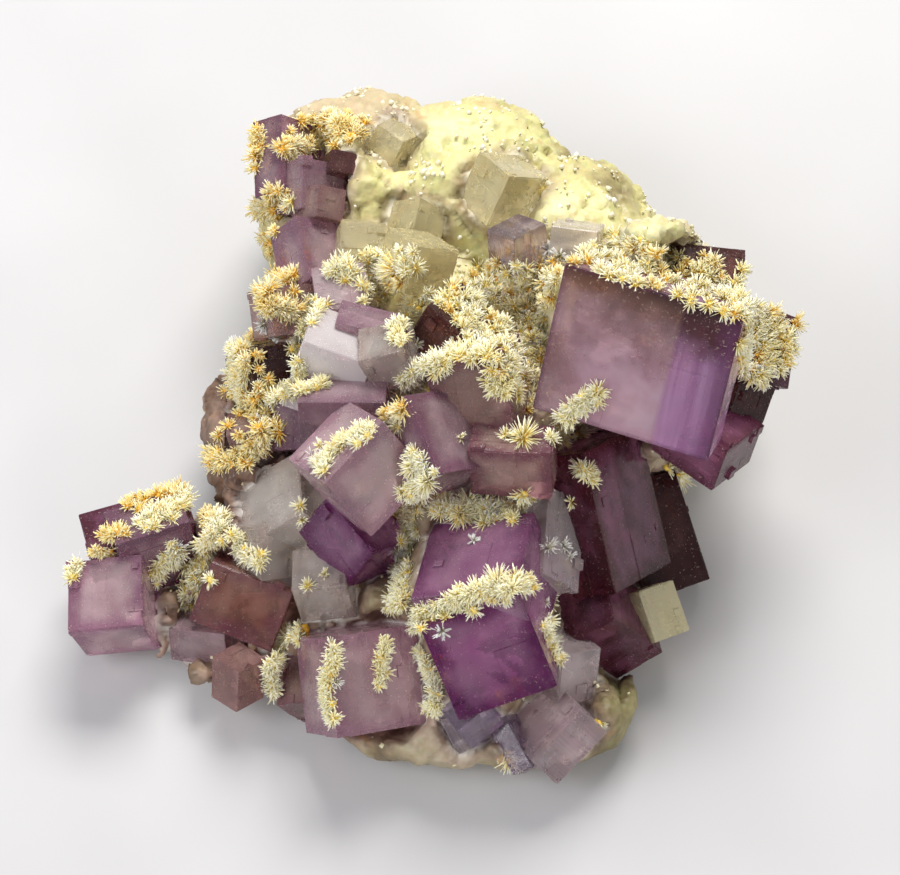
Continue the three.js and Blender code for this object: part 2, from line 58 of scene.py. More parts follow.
# node: (crystal, centre, quaternion w x y z, edge lengths)
CRYSTALS = {
    "large_fluorite_cube": [
        ("A", (25.312, -4.803, 37.011), (-0.42878, 0.88525, -0.15474, 0.09237), (22.48, 19.22, 7.26)),
    ],
    "right_fluorite_group": [
        ("B", (33.946, -7.841, 21.802), (-0.55181, 0.70471, 0.17084, -0.41195), (8.48, 6.5, 9.65)),
        ("C", (37.615, -0.93, 22.689), (0.66114, 0.47715, 0.06028, 0.57584), (6.58, 6.58, 7.61)),
        ("Y", (39.126, 2.97, 26.377), (-0.19944, 0.89663, 0.0036, -0.39531), (9.28, 9.28, 7.5)),
        ("Z1", (33.423, 6.562, 34.552), (-0.08388, 0.9949, -0.04272, -0.03623), (7.79, 7.79, 7.21)),
    ],
    "front_fluorite_group": [
        ("D", (21.32, -15.016, 15.528), (0.84697, 0.24228, 0.39979, 0.25321), (13.69, 18.26, 6.49)),
        ("E", (28.455, -13.459, 6.276), (0.54545, 0.21848, -0.14141, 0.79672), (14.86, 8.49, 4.39)),
        ("V", (21.62, -26.307, 7.348), (-0.44895, -0.04332, 0.885, -0.11552), (10.92, 9.25, 7.11)),
        ("X", (13.715, -20.78, 17.937), (-0.07964, 0.90703, -0.01222, -0.41329), (6.85, 11.42, 5.48)),
        ("I", (6.148, -27.777, 18.901), (0.16727, 0.96836, -0.06915, 0.17179), (13.45, 13.45, 11.25)),
        ("J", (6.425, -34.808, 17.233), (-0.16227, -0.09209, -0.39397, 0.89999), (12.86, 12.86, 7.52)),
        ("U", (16.023, -33.628, 8.803), (-0.44053, 0.85346, 0.08448, -0.26533), (5.7, 7.13, 6.2)),
        ("T3", (14.674, -41.287, 6.319), (0.33375, 0.4351, 0.83513, 0.04302), (8.84, 8.84, 5.19)),
        ("T2", (9.673, -42.977, 5.951), (-0.3254, 0.79315, -0.51223, 0.05152), (6.85, 2.85, 3.73)),
        ("T1", (4.334, -41.147, 10.279), (-0.60369, 0.72348, 0.32752, -0.06984), (5.08, 5.08, 4.18)),
        ("T1b", (3.319, -41.768, 8.189), (-0.02278, 0.96949, 0.20986, 0.12464), (4.23, 4.23, 4.47)),
        ("F", (27.144, -24.959, 6.238), (-0.2032, 0.9424, 0.20686, -0.16676), (5.01, 6.68, 7.58)),
    ],
    "centre_fluorite_group": [
        ("M", (9.33, -14.253, 27.298), (-0.59828, 0.79648, -0.02049, 0.08528), (9.95, 7.48, 5.15)),
        ("N1", (5.229, -4.947, 29.408), (-0.39546, 0.9021, 0.03405, 0.16931), (10, 10, 8.64)),
        ("N2", (-0.281, -12.22, 28.076), (-0.05901, 0.92301, 0.22584, -0.30589), (10.69, 10.69, 7.33)),
        ("O", (2.391, 2.325, 28.631), (-0.29255, -0.46557, -0.28802, 0.78403), (8.91, 8.91, 7.46)),
        ("G", (-9.73, -15.191, 27.108), (-0.3915, 0.08617, -0.46013, 0.7922), (10.35, 10.35, 9.73)),
        ("H", (-10.077, -19.141, 16.992), (0.84144, 0.20568, -0.43289, 0.24958), (7.55, 9.34, 8.46)),
        ("P", (-13.366, 0.115, 25.938), (0.21392, 0.9621, -0.10126, -0.13547), (8.84, 8.84, 10.12)),
        ("Pb", (-8.91, 3.944, 28.064), (0.15464, 0.9808, -0.0862, -0.08176), (8.06, 4.48, 4.42)),
        ("Q3", (-11.715, -6.162, 23.991), (-0.56937, 0.82198, 0.00079, 0.01288), (10.81, 10.81, 7.43)),
        ("R2", (-5.9, -0.892, 30.015), (-0.6016, 0.77516, 0.14278, 0.12971), (5.95, 5.95, 5.58)),
        ("L1", (-22.352, 3.903, 18.328), (-0.32329, 0.91007, 0.11759, -0.23112), (6.83, 6.83, 7.63)),
        ("L2", (-17.901, -3.389, 17.447), (-0.22442, 0.92285, -0.07235, 0.30454), (6.66, 6.66, 6.39)),
        ("AR1", (-24.207, -4.151, 16.047), (-0.52738, 0.84144, 0.1094, 0.04326), (4.75, 4.75, 5.6)),
        ("R", (-19.005, -13.91, 13.156), (-0.07164, -0.32372, 0.06233, 0.94138), (9.89, 9.89, 7.37)),
        ("S4", (-21.218, -19.653, 11.993), (-0.25595, 0.91419, 0.12112, -0.28995), (6.17, 8.22, 4.28)),
        ("W1", (-14.237, -24.107, 13.132), (-0.64406, 0.76047, 0.06105, 0.05605), (6.75, 6.75, 6.23)),
        ("S3", (-24.495, -24.056, 8.336), (-0.3392, 0.92175, -0.1864, -0.02375), (10.88, 8.06, 7.55)),
        ("AB3", (-29.735, -26.625, 3.595), (-0.4854, 0.86199, -0.04235, 0.13987), (7.67, 4.8, 5.73)),
    ],
    "lower_left_fluorite_pair": [
        ("K", (-9.617, -35.628, 9.357), (0.93783, 0.25576, 0.20278, 0.1181), (12.25, 12.25, 9.6)),
        ("AB2", (-15.705, -34.13, 3.852), (-0.03472, 0.97746, -0.04636, 0.20302), (6.55, 6.55, 6.6)),
    ],
    "top_left_fluorite_group": [
        ("TL1", (-19.874, 33.491, 22.838), (0.33091, -0.64025, 0.68333, -0.11679), (10.51, 4.79, 8.18)),
        ("TL1b", (-16.858, 28.598, 23.856), (-0.21626, 0.92959, 0.04012, -0.29579), (6.6, 6.6, 6.5)),
        ("TL4", (-15.553, 25.015, 25.349), (-0.20341, 0.927, 0.023, -0.31425), (4.24, 4.24, 5.69)),
        ("TL5", (-13.293, 30.741, 25.754), (-0.14843, 0.9699, -0.0117, -0.19269), (3.48, 2.9, 5.21)),
    ],
    "upper_left_fluorite_group": [
        ("TL2", (-16.553, 17.823, 23.14), (-0.37147, 0.68092, -0.5881, 0.22913), (9.15, 5.6, 6.96)),
        ("TL3", (-12.456, 10.748, 25.107), (-0.04244, 0.99668, 0.06944, -0.00128), (6.43, 6.43, 6.38)),
        ("TL6", (-19.923, 9.731, 23.359), (-0.2268, 0.94325, 0.11796, -0.21196), (6.17, 6.17, 6.36)),
        ("CG2", (-10.191, 18.369, 24.67), (-0.1282, 0.98759, -0.00593, -0.0905), (5.73, 5.73, 6.43)),
    ],
    "upper_pale_fluorite": [
        ("CG1", (-2.661, 14.177, 28.195), (-0.40462, 0.86281, -0.01826, -0.3025), (6.44, 6.44, 7.57)),
    ],
    "arm_fluorite_group": [
        ("S1", (-41.197, -24.774, 8.367), (-0.01432, -0.08367, -0.05408, 0.99492), (9.4, 9.4, 8.84)),
        ("S2", (-38.096, -15.524, 9.303), (0.09791, 0.9835, 0.15016, 0.02434), (13.68, 6.51, 7.67)),
        ("S5", (-36.723, -16.964, 10.113), (-0.57074, 0.79759, 0.13757, -0.13848), (9.6, 9.6, 6.54)),
    ],
    "low_beige_crystal": [
        ("AB1", (-25.17, -33.853, 6.243), (-0.37995, 0.13565, 0.21688, 0.88893), (4.78, 4.72, 6.16)),
    ],
    "small_clear_fluorite": [
        ("LV", (10.259, 15.757, 29.584), (-0.4431, 0.81755, 0.22017, -0.29463), (5.63, 5.63, 5.05)),
    ],
    "small_grey_crystal": [
        ("GR1", (17.633, 15.79, 30.195), (-0.37892, 0.91992, -0.07812, 0.06377), (5.92, 4.94, 5.57)),
    ],
    "beige_crystal": [
        ("BG1", (8.488, 26.587, 26.503), (-0.48798, 0.78794, -0.00937, -0.37541), (7.29, 7.29, 6.42)),
    ],
    "grey_beige_crystal": [
        ("BG2", (-2.891, 22.536, 24.397), (-0.16487, 0.90105, -0.0667, -0.39557), (5.11, 5.11, 5.17)),
    ],
    "olive_grey_crystal": [
        ("BG3", (-6.037, 35.313, 24.949), (-0.43016, 0.84047, -0.31468, 0.0977), (4.22, 4.22, 5.25)),
    ],
}

# crystal: look, tone (0 dark .. 1 light within the look), how dark its rims are
SHADES = {
    "A": ("large", 0.5, 0.4), "B": ("dark", 0.8, 0.6), "C": ("maroon", 0.0, 0.5), "Y": ("dark", 0.3, 0.5),
    # D's dark look and low tone paint the shadow the large cube above casts on it, over its own purple
    "Z1": ("maroon", 0.9, 0.5), "D": ("dark", 0.3, 0.95), "E": ("maroon", 0.1, 0.8), "V": ("dark", 0.35, 0.6),
    "X": ("frosted", 0.8, 0.3), "I": ("purple", 0.7, 0.6), "J": ("purple", 0.4, 1.0), "U": ("frosted", 0.7, 0.3),
    "T3": ("frosted", 0.25, 0.5), "T2": ("violet", 0.6, 0.6), "T1": ("violet", 0.8, 0.5), "T1b": ("clear", 0.5, 0.6),
    "F": ("cream_crystal", 0.6, 0.2), "M": ("brown", 0.8, 0.9), "N1": ("brown", 0.45, 0.8), "N2": ("mauve", 0.45, 0.8),
    "O": ("maroon", 1.0, 0.9), "G": ("rose", 0.9, 0.6), "H": ("purple", 0.4, 0.9), "Q3": ("mauve", 0.6, 0.5),
    "P": ("lilac", 1.0, 0.2), "Pb": ("mauve", 0.5, 0.5), "R2": ("grey", 0.3, 0.7), "L1": ("maroon", 0.2, 0.8),
    "L2": ("mauve", 0.4, 0.7), "R": ("grey", 0.7, 0.5), "S4": ("grey", 0.5, 0.6), "S3": ("reddish", 0.35, 0.5),
    "W1": ("grey", 0.6, 0.5), "AB3": ("rose", 0.8, 0.4), "AR1": ("brown", 0.6, 0.6), "K": ("rose", 0.45, 0.7),
    "AB2": ("brown", 0.35, 0.7), "TL1": ("mauve", 0.4, 0.8), "TL1b": ("rose", 0.3, 0.5), "TL4": ("brown", 0.6, 0.5),
    "TL5": ("maroon", 0.9, 0.5), "TL2": ("mauve", 0.7, 0.7), "TL3": ("rose", 1.0, 0.3), "TL6": ("brown", 0.95, 0.5),
    "CG2": ("beige", 0.8, 0.3), "CG1": ("beige", 0.95, 0.2), "S1": ("rose", 0.45, 0.9), "S2": ("dark", 0.6, 0.7),
    "S5": ("mauve", 0.3, 0.7), "LV": ("clear", 0.35, 0.9), "GR1": ("grey", 0.8, 0.3), "BG1": ("beige", 0.8, 0.2),
    "BG2": ("beige", 0.7, 0.2), "BG3": ("beige", 0.6, 0.2), "AB1": ("brown", 0.2, 0.3),
}

# faces given another tone than the rest of their crystal, as painted light and shade of how each face meets the light:
# crystal: {axis: tone}
FACE_SHADING_TONES = {"D": {0: 0.05, 2: 0.45}, "B": {2: 0.1}, "C": {2: 0.0}, "I": {0: 1.0}, "H": {0: 0.9}, "G": {1: 1.0}, "V": {2: 0.6}, "N1": {1: 0.0}, "Pb": {1: 1.0}}

# Needle bands as they lie in the picture: (look, half width, sprays per 100 px, reach mm, points)
BANDS = [
    ("gold", 5, 30, 1.5, [(700, 262), (718, 266)]),
    ("cream", 7, 40, 1.6, [(744, 338), (741, 364)]),
    ("cream", 7, 45, 1.6, [(700, 236), (722, 232), (742, 240)]),
    ("cream", 9, 60, 1.6, [(396, 394), (414, 374), (438, 358), (465, 352), (492, 350)]),
    ("cream", 9, 55, 1.6, [(402, 345), (400, 325), (412, 308), (432, 296)]),
    ("cream", 7, 40, 1.8, [(550, 440), (562, 422), (580, 406), (600, 392)]),
    ("cream", 5, 40, 1.6, [(580, 466), (594, 480)]),
    ("gold", 5, 45, 1.4, [(384, 414), (404, 410)]),
    ("cream", 8, 55, 1.5, [(412, 452), (425, 478), (414, 500)]),
    ("cream", 9, 60, 1.5, [(412, 500), (412, 522), (406, 545), (400, 570), (402, 592), (394, 612)]),
    ("cream", 10, 60, 1.6, [(434, 504), (458, 510), (482, 514), (505, 512), (528, 500)]),
    ("cream", 10, 60, 1.6, [(412, 626), (436, 608), (462, 600), (488, 590), (512, 582), (532, 582)]),
    ("cream", 4, 45, 1.3, [(418, 648), (428, 670), (438, 696)]),
    ("cream", 5, 50, 1.4, [(424, 706), (438, 712)]),
    ("cream", 7, 45, 1.5, [(300, 640), (288, 632), (278, 650), (270, 672), (272, 694)]),
    ("cream", 5, 38, 1.5, [(334, 648), (328, 672), (328, 700), (332, 724)]),
    ("cream", 4, 38, 1.4, [(384, 640), (382, 662), (380, 686)]),
    ("cream", 5, 45, 1.4, [(542, 622), (550, 642), (558, 662)]),
    ("gold", 6, 45, 1.7, [(104, 538), (125, 530)]),
    ("cream", 9, 50, 1.7, [(142, 528), (165, 512), (185, 500), (203, 494)]),
    ("gold", 8, 45, 1.7, [(126, 504), (148, 494), (176, 490), (196, 496)]),
    ("cream", 10, 50, 1.7, [(222, 512), (218, 532), (205, 552), (198, 578), (184, 604)]),
    ("gold", 7, 45, 1.6, [(206, 506), (214, 530), (200, 562)]),
    ("cream", 8, 45, 1.6, [(176, 545), (164, 566), (152, 580)]),
    ("cream", 7, 45, 1.6, [(232, 532), (248, 552), (258, 566)]),
    ("cream", 5, 40, 1.5, [(76, 562), (70, 580)]),
    ("gold", 4, 35, 1.4, [(92, 552), (112, 552)]),
    ("gold", 9, 50, 1.8, [(252, 342), (242, 356), (240, 378), (246, 402), (262, 420), (272, 438)]),
    ("cream", 8, 45, 1.7, [(244, 346), (236, 380), (242, 404)]),
    ("gold", 8, 50, 1.8, [(212, 448), (226, 462), (248, 456), (262, 440)]),
    ("cream", 6, 40, 1.5, [(296, 350), (300, 332), (312, 318), (322, 302)]),
    ("cream", 6, 50, 1.6, [(272, 402), (280, 390), (302, 390), (325, 384)]),
    ("cream", 4, 40, 1.4, [(300, 378), (298, 360)]),
    ("cream", 6, 50, 1.6, [(318, 470), (334, 452), (350, 440), (372, 428)]),
    ("gold", 9, 50, 1.9, [(250, 205), (258, 222), (262, 242), (262, 262)]),
    ("gold", 8, 50, 1.8, [(264, 208), (284, 194)]),
    ("gold", 8, 50, 1.8, [(264, 296), (274, 278), (296, 280)]),
    ("gold", 8, 50, 1.8, [(262, 306), (280, 308), (296, 314)]),
    ("gold", 6, 45, 1.7, [(258, 130), (252, 150), (250, 176)]),
    ("gold", 8, 50, 1.8, [(280, 150), (305, 146), (332, 138)]),
    ("gold", 8, 50, 1.7, [(322, 118), (346, 124), (362, 132)]),
    ("cream", 7, 50, 1.6, [(326, 272), (340, 262), (352, 276)]),
    ("cream", 8, 50, 1.6, [(364, 290), (384, 276), (404, 262)]),
    ("cream", 5, 40, 1.5, [(362, 258), (380, 254)]),
    ("cream", 4, 30, 1.3, [(360, 302), (384, 300)]),
    ("cream", 4, 30, 1.3, [(306, 300), (316, 298)]),
]

# Fields that are covered all over: (look, distance between sprays in px, reach mm, corner points)
FIELDS = [
    ("gold", 13.0, 1.35, [(206, 446), (222, 432), (246, 404), (238, 352), (258, 330), (274, 380), (272, 432), (246, 470), (216, 474)]),
    ("gold", 12.0, 1.3, [(250, 196), (266, 186), (292, 196), (276, 240), (264, 272), (250, 252)]),
    ("gold", 12.0, 1.3, [(282, 124), (326, 112), (372, 122), (362, 142), (322, 152), (290, 152)]),
    ("gold", 14.0, 1.3, [(262, 296), (276, 278), (300, 286), (306, 316), (282, 322), (266, 312)]),
    ("cream", 7.5, 1.6, [(432, 300), (452, 284), (476, 268), (500, 258), (530, 268), (562, 258), (552, 300), (544, 340), (538, 372), (530, 402), (508, 398), (488, 388), (486, 356), (470, 342), (452, 318)]),
    ("cream", 7.5, 1.6, [(570, 261), (592, 240), (622, 232), (652, 240), (676, 252), (690, 268), (716, 276), (744, 286), (760, 306), (746, 320), (722, 310), (682, 298), (640, 286), (604, 275)]),
    ("cream", 8.0, 1.7, [(742, 262), (762, 262), (776, 286), (794, 300), (806, 326), (792, 350), (784, 368), (766, 384), (744, 382), (738, 360), (744, 330), (738, 300)]),
    ("cream", 10.0, 1.5, [(392, 250), (414, 244), (418, 268), (396, 292), (372, 296), (366, 276)]),
]

# Single large sprays: (look, x, y, reach in px, needles, thickness mm)
SPRAYS = [
    ("cream", 508, 364, 19, 95, 0.085), ("cream", 502, 385, 15, 70, 0.08), ("cream", 530, 374, 15, 60, 0.08), ("gold", 536, 356, 10, 40, 0.07),
    ("cream", 523, 438, 21, 105, 0.09), ("cream", 506, 436, 12, 50, 0.08), ("gold", 527, 410, 9, 36, 0.07), ("cream", 576, 434, 25, 130, 0.1),
    ("cream", 562, 440, 17, 70, 0.09), ("cream", 583, 404, 15, 70, 0.08), ("cream", 597, 393, 13, 56, 0.08), ("gold", 402, 411, 17, 85, 0.08),
    ("cream", 398, 426, 14, 60, 0.08), ("white", 389, 428, 11, 22, 0.13), ("cream", 461, 438, 8, 30, 0.07), ("cream", 414, 467, 18, 90, 0.085),
    ("cream", 427, 482, 18, 85, 0.085), ("white", 424, 462, 11, 24, 0.12), ("cream", 402, 492, 12, 50, 0.08), ("gold", 415, 508, 13, 60, 0.08),
    ("gold", 406, 522, 13, 60, 0.08), ("cream", 396, 516, 14, 60, 0.08), ("cream", 410, 546, 16, 70, 0.08), ("white", 396, 550, 13, 40, 0.09),
    ("cream", 402, 580, 15, 70, 0.08), ("cream", 410, 572, 11, 40, 0.08), ("cream", 394, 600, 14, 60, 0.08), ("gold", 439, 502, 13, 70, 0.08),
    ("gold", 461, 514, 19, 120, 0.08), ("cream", 468, 500, 15, 60, 0.08), ("white", 490, 510, 16, 60, 0.08), ("cream", 484, 524, 13, 50, 0.08),
    ("cream", 524, 502, 13, 55, 0.08), ("cream", 534, 498, 10, 40, 0.08), ("white", 474, 541, 9, 14, 0.17), ("cream", 571, 502, 9, 28, 0.08),
    ("white", 549, 547, 13, 44, 0.085), ("white", 564, 546, 10, 26, 0.1), ("white", 570, 556, 9, 20, 0.1), ("white", 546, 602, 7, 20, 0.07),
    ("cream", 418, 624, 13, 60, 0.08), ("white", 442, 632, 12, 22, 0.14), ("cream", 436, 610, 14, 60, 0.08), ("cream", 456, 598, 15, 65, 0.08),
    ("cream", 476, 590, 16, 70, 0.08), ("cream", 497, 582, 20, 100, 0.085), ("gold", 492, 596, 13, 60, 0.08), ("cream", 516, 578, 14, 60, 0.08),
    ("gold", 524, 578, 10, 36, 0.07), ("gold", 468, 610, 8, 26, 0.07), ("cream", 546, 636, 12, 46, 0.08), ("cream", 556, 654, 10, 36, 0.08),
    ("white", 545, 622, 9, 16, 0.11), ("cream", 419, 654, 9, 30, 0.07), ("cream", 436, 704, 12, 50, 0.08), ("white", 430, 694, 9, 20, 0.08),
    ("gold", 339, 447, 15, 75, 0.08), ("cream", 322, 463, 14, 60, 0.08), ("cream", 320, 446, 9, 30, 0.08), ("gold", 352, 438, 12, 46, 0.08),
    ("cream", 368, 426, 11, 40, 0.08), ("white", 312, 456, 10, 10, 0.07), ("cream", 300, 506, 12, 46, 0.08), ("cream", 302, 520, 9, 30, 0.07),
    ("white", 280, 337, 12, 9, 0.24), ("cream", 308, 586, 11, 44, 0.08), ("cream", 325, 574, 9, 30, 0.07), ("cream", 290, 636, 16, 70, 0.09),
    ("cream", 276, 660, 14, 55, 0.08), ("white", 270, 694, 10, 30, 0.09), ("cream", 334, 664, 14, 60, 0.08), ("gold", 332, 672, 9, 36, 0.07),
    ("white", 336, 682, 9, 22, 0.09), ("cream", 328, 706, 11, 40, 0.08), ("gold", 380, 664, 9, 36, 0.07), ("cream", 384, 648, 11, 44, 0.08),
    ("gold", 396, 270, 22, 110, 0.09), ("cream", 374, 284, 16, 60, 0.09), ("cream", 338, 268, 18, 70, 0.09), ("cream", 346, 280, 13, 44, 0.08),
    ("gold", 270, 208, 19, 80, 0.1), ("cream", 292, 202, 14, 50, 0.09), ("gold", 262, 240, 16, 70, 0.1), ("gold", 286, 282, 18, 80, 0.1),
    ("gold", 268, 292, 14, 60, 0.09), ("gold", 286, 308, 17, 70, 0.1), ("gold", 252, 340, 16, 60, 0.09), ("white", 264, 324, 12, 36, 0.1),
    ("gold", 240, 372, 15, 60, 0.09), ("white", 236, 346, 12, 36, 0.1), ("cream", 246, 408, 14, 50, 0.09), ("gold", 262, 432, 18, 80, 0.1),
    ("gold", 222, 458, 17, 70, 0.1), ("gold", 306, 330, 13, 44, 0.08), ("cream", 322, 384, 12, 44, 0.08), ("gold", 300, 390, 13, 50, 0.08),
    ("cream", 276, 398, 13, 50, 0.08), ("white", 262, 420, 11, 34, 0.1), ("gold", 256, 156, 16, 60, 0.1), ("gold", 290, 148, 15, 60, 0.1),
    ("gold", 338, 124, 16, 70, 0.1), ("gold", 362, 134, 13, 50, 0.09), ("cream", 290, 158, 13, 44, 0.09), ("gold", 110, 536, 15, 60, 0.1),
    ("gold", 160, 512, 16, 60, 0.1), ("cream", 182, 500, 17, 70, 0.1), ("gold", 204, 508, 17, 70, 0.1), ("cream", 222, 530, 17, 70, 0.1),
    ("gold", 206, 556, 15, 60, 0.09), ("cream", 186, 566, 16, 60, 0.09), ("white", 178, 548, 14, 44, 0.1), ("cream", 242, 548, 15, 60, 0.09),
    ("cream", 200, 590, 13, 50, 0.09), ("white", 720, 286, 9, 14, 0.18), ("white", 757, 368, 9, 12, 0.2), ("white", 788, 310, 14, 30, 0.18),
    ("gold", 796, 334, 13, 50, 0.1), ("gold", 722, 298, 10, 40, 0.08), ("gold", 768, 314, 16, 60, 0.1), ("gold", 782, 350, 17, 60, 0.1),
    ("cream", 744, 346, 12, 36, 0.09), ("cream", 712, 262, 13, 50, 0.09), ("white", 704, 234, 12, 30, 0.12), ("cream", 728, 236, 16, 60, 0.1),
    ("gold", 622, 246, 14, 50, 0.09), ("gold", 646, 252, 9, 30, 0.08), ("white", 560, 256, 13, 24, 0.16), ("white", 588, 260, 12, 24, 0.16),
    ("white", 548, 250, 12, 20, 0.16), ("gold", 512, 294, 12, 44, 0.08), ("gold", 536, 304, 12, 44, 0.08), ("gold", 464, 326, 12, 50, 0.08),
    ("gold", 442, 306, 10, 36, 0.08), ("gold", 508, 342, 11, 40, 0.08), ("white", 417, 344, 9, 12, 0.16), ("white", 454, 349, 10, 12, 0.16),
    ("white", 532, 363, 7, 10, 0.14), ("white", 534, 342, 8, 12, 0.12),
]

NEEDLE_NODES = sorted(n for n in NODES if "needles" in n)


# -------------------------------------------------------------------- helpers
def new_object(name, me):
    o = bpy.data.objects.new(name, me)
    scene.collection.objects.link(o)
    return o


def mesh_from(name, verts_mm, faces):
    me = bpy.data.meshes.new(name)
    me.from_pydata((np.asarray(verts_mm) * MM).tolist(), [], [list(map(int, f)) for f in faces])
    me.update()
    return me


def tri_mesh(name, verts_mm, tris):
    """A triangle mesh from arrays, quickly."""
    verts = (np.asarray(verts_mm, np.float32) * MM)
    tris = np.asarray(tris, np.int32)
    me = bpy.data.meshes.new(name)
    me.vertices.add(len(verts))
    me.vertices.foreach_set("co", verts.ravel())
    me.loops.add(tris.size)
    me.loops.foreach_set("vertex_index", tris.ravel())
    me.polygons.add(len(tris))
    me.polygons.foreach_set("loop_start", np.arange(0, tris.size, 3, dtype=np.int32))
    me.update(calc_edges=True)
    return me


def coords(me):
    co = np.empty(len(me.vertices) * 3, np.float32)
    me.vertices.foreach_get("co", co)
    return co.reshape(-1, 3).astype(float)


def point_value(me, name, values, domain="POINT", kind="FLOAT"):
    at = me.attributes.new(name, kind, domain)
    at.data.foreach_set("value" if kind == "FLOAT" else "vector", np.asarray(values, np.float32).ravel())


def seed(word):
    return random.Random(sum((i + 1) * ord(c) for i, c in enumerate(word)))


def evaluated(o):
    dg = bpy.context.evaluated_depsgraph_get()
    me = bpy.data.meshes.new_from_object(o.evaluated_get(dg), depsgraph=dg)
    return me


def finish_piece(o, mat, nodes=()):
    if mat is not None:
        o.data.materials.clear()
        o.data.materials.append(mat)
    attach(o, "root")
    if nodes:
        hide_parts(*nodes)


# ------------------------------------------------------------ node material kit
class Mat:
    def __init__(self, name):
        self.m = bpy.data.materials.new(name)
        self.m.use_nodes = True
        self.t = self.m.node_tree
        self.b = self.t.nodes["Principled BSDF"]
        self.out = self.t.nodes["Material Output"]
        self.co = self.n("ShaderNodeTexCoord").outputs["Object"]

    def n(self, kind, **kw):
        node = self.t.nodes.new(kind)
        for k, v in kw.items():
            setattr(node, k, v)
        return node

    def link(self, a, b):
        self.t.links.new(a, b)
        return a

    def attr(self, name, out="Fac"):
        return self.n("ShaderNodeAttribute", attribute_name=name).outputs[out]

    def noise(self, scale, detail=4.0, rough=0.55, vec=None, distort=0.0):
        x = self.n("ShaderNodeTexNoise")
        x.inputs["Scale"].default_value = scale
        x.inputs["Detail"].default_value = detail
        x.inputs["Roughness"].default_value = rough
        x.inputs["Distortion"].default_value = distort
        self.link(vec or self.co, x.inputs["Vector"])
        return x.outputs["Fac"]

    def voronoi(self, scale, vec=None, feature="F1", out="Distance", metric="EUCLIDEAN", flat=False):
        x = self.n("ShaderNodeTexVoronoi", feature=feature)
        if flat:
            x.voronoi_dimensions = "2D"
        if feature != "DISTANCE_TO_EDGE":
            x.distance = metric
        x.inputs["Scale"].default_value = scale
        self.link(vec or self.co, x.inputs["Vector"])
        return x.outputs[out]

    def stretch(self, vec, scale):
        x = self.n("ShaderNodeMapping")
        x.inputs["Scale"].default_value = scale
        self.link(vec, x.inputs["Vector"])
        return x.outputs["Vector"]

    def ramp(self, fac, stops, mode="LINEAR"):
        x = self.n("ShaderNodeValToRGB")
        x.color_ramp.interpolation = mode
        while len(x.color_ramp.elements) < len(stops):
            x.color_ramp.elements.new(0.5)
        for e, (p, c) in zip(x.color_ramp.elements, stops):
            e.position = p
            e.color = (*c, 1) if len(c) == 3 else c
        self.link(fac, x.inputs["Fac"])
        return x.outputs["Color"]

    def span(self, fac, a, b, lo, hi):
        x = self.n("ShaderNodeMapRange")
        x.inputs["From Min"].default_value = a
        x.inputs["From Max"].default_value = b
        x.inputs["To Min"].default_value = lo
        x.inputs["To Max"].default_value = hi
        self.link(fac, x.inputs["Value"])
        return x.outputs["Result"]

    def mix(self, fac, a, b, kind="MIX"):
        x = self.n("ShaderNodeMix", data_type="RGBA", blend_type=kind)
        for v, i in ((fac, 0), (a, 6), (b, 7)):
            if isinstance(v, (int, float)):
                x.inputs[i].default_value = v
            elif isinstance(v, (tuple, list)):
                x.inputs[i].default_value = (*v, 1) if len(v) == 3 else v
            else:
                self.link(v, x.inputs[i])
        return x.outputs[2]

    def math(self, op, a, b=None):
        x = self.n("ShaderNodeMath", operation=op)
        for v, i in ((a, 0), (b, 1)):
            if v is None:
                continue
            if isinstance(v, (int, float)):
                x.inputs[i].default_value = v
            else:
                self.link(v, x.inputs[i])
        return x.outputs[0]

    def bump(self, heights):
        """heights: (height socket, distance in mm, strength)"""
        prev = None
        for h, d, s in heights:
            x = self.n("ShaderNodeBump")
            x.inputs["Distance"].default_value = d * MM
            x.inputs["Strength"].default_value = s
            self.link(h, x.inputs["Height"])
            if prev is not None:
                self.link(prev, x.inputs["Normal"])
            prev = x.outputs["Normal"]
        self.link(prev, self.b.inputs["Normal"])

    def absorb(self, colour, density):
        x = self.n("ShaderNodeVolumeAbsorption")
        x.inputs["Color"].default_value = (*colour, 1)
        x.inputs["Density"].default_value = density
        self.link(x.outputs["Volume"], self.out.inputs["Volume"])

    def set(self, **kw):
        for k, v in kw.items():
            self.b.inputs[k.replace("_", " ")].default_value = v


# ------------------------------------------------------------------- crystals
def frame_of(row):
    name, c, q, s = row
    m = Quaternion(q).to_matrix()
    return np.array(c), np.array(m), np.array(s)


def chamfered_block(lo, hi, bevel):
    """A block from lo to hi in a crystal's own axes, its edges cut by a fine bevel: verts, faces."""
    bm = bmesh.new()
    bmesh.ops.create_cube(bm, size=1.0)
    lo, hi = np.array(lo), np.array(hi)
    for v in bm.verts:
        v.co = Vector((lo + hi) / 2 + np.array(v.co) * (hi - lo))
    if bevel > 0:
        b = min(bevel, float(min(hi - lo)) * 0.3)
        bmesh.ops.bevel(bm, geom=bm.edges[:] + bm.verts[:], offset=b, segments=1, profile=0.5, affect="EDGES")
    bmesh.ops.triangulate(bm, faces=[f for f in bm.faces if len(f.verts) > 4])
    v = np.array([x.co for x in bm.verts])
    f = [[x.index for x in y.verts] for y in bm.faces]
    bm.free()
    return v, f


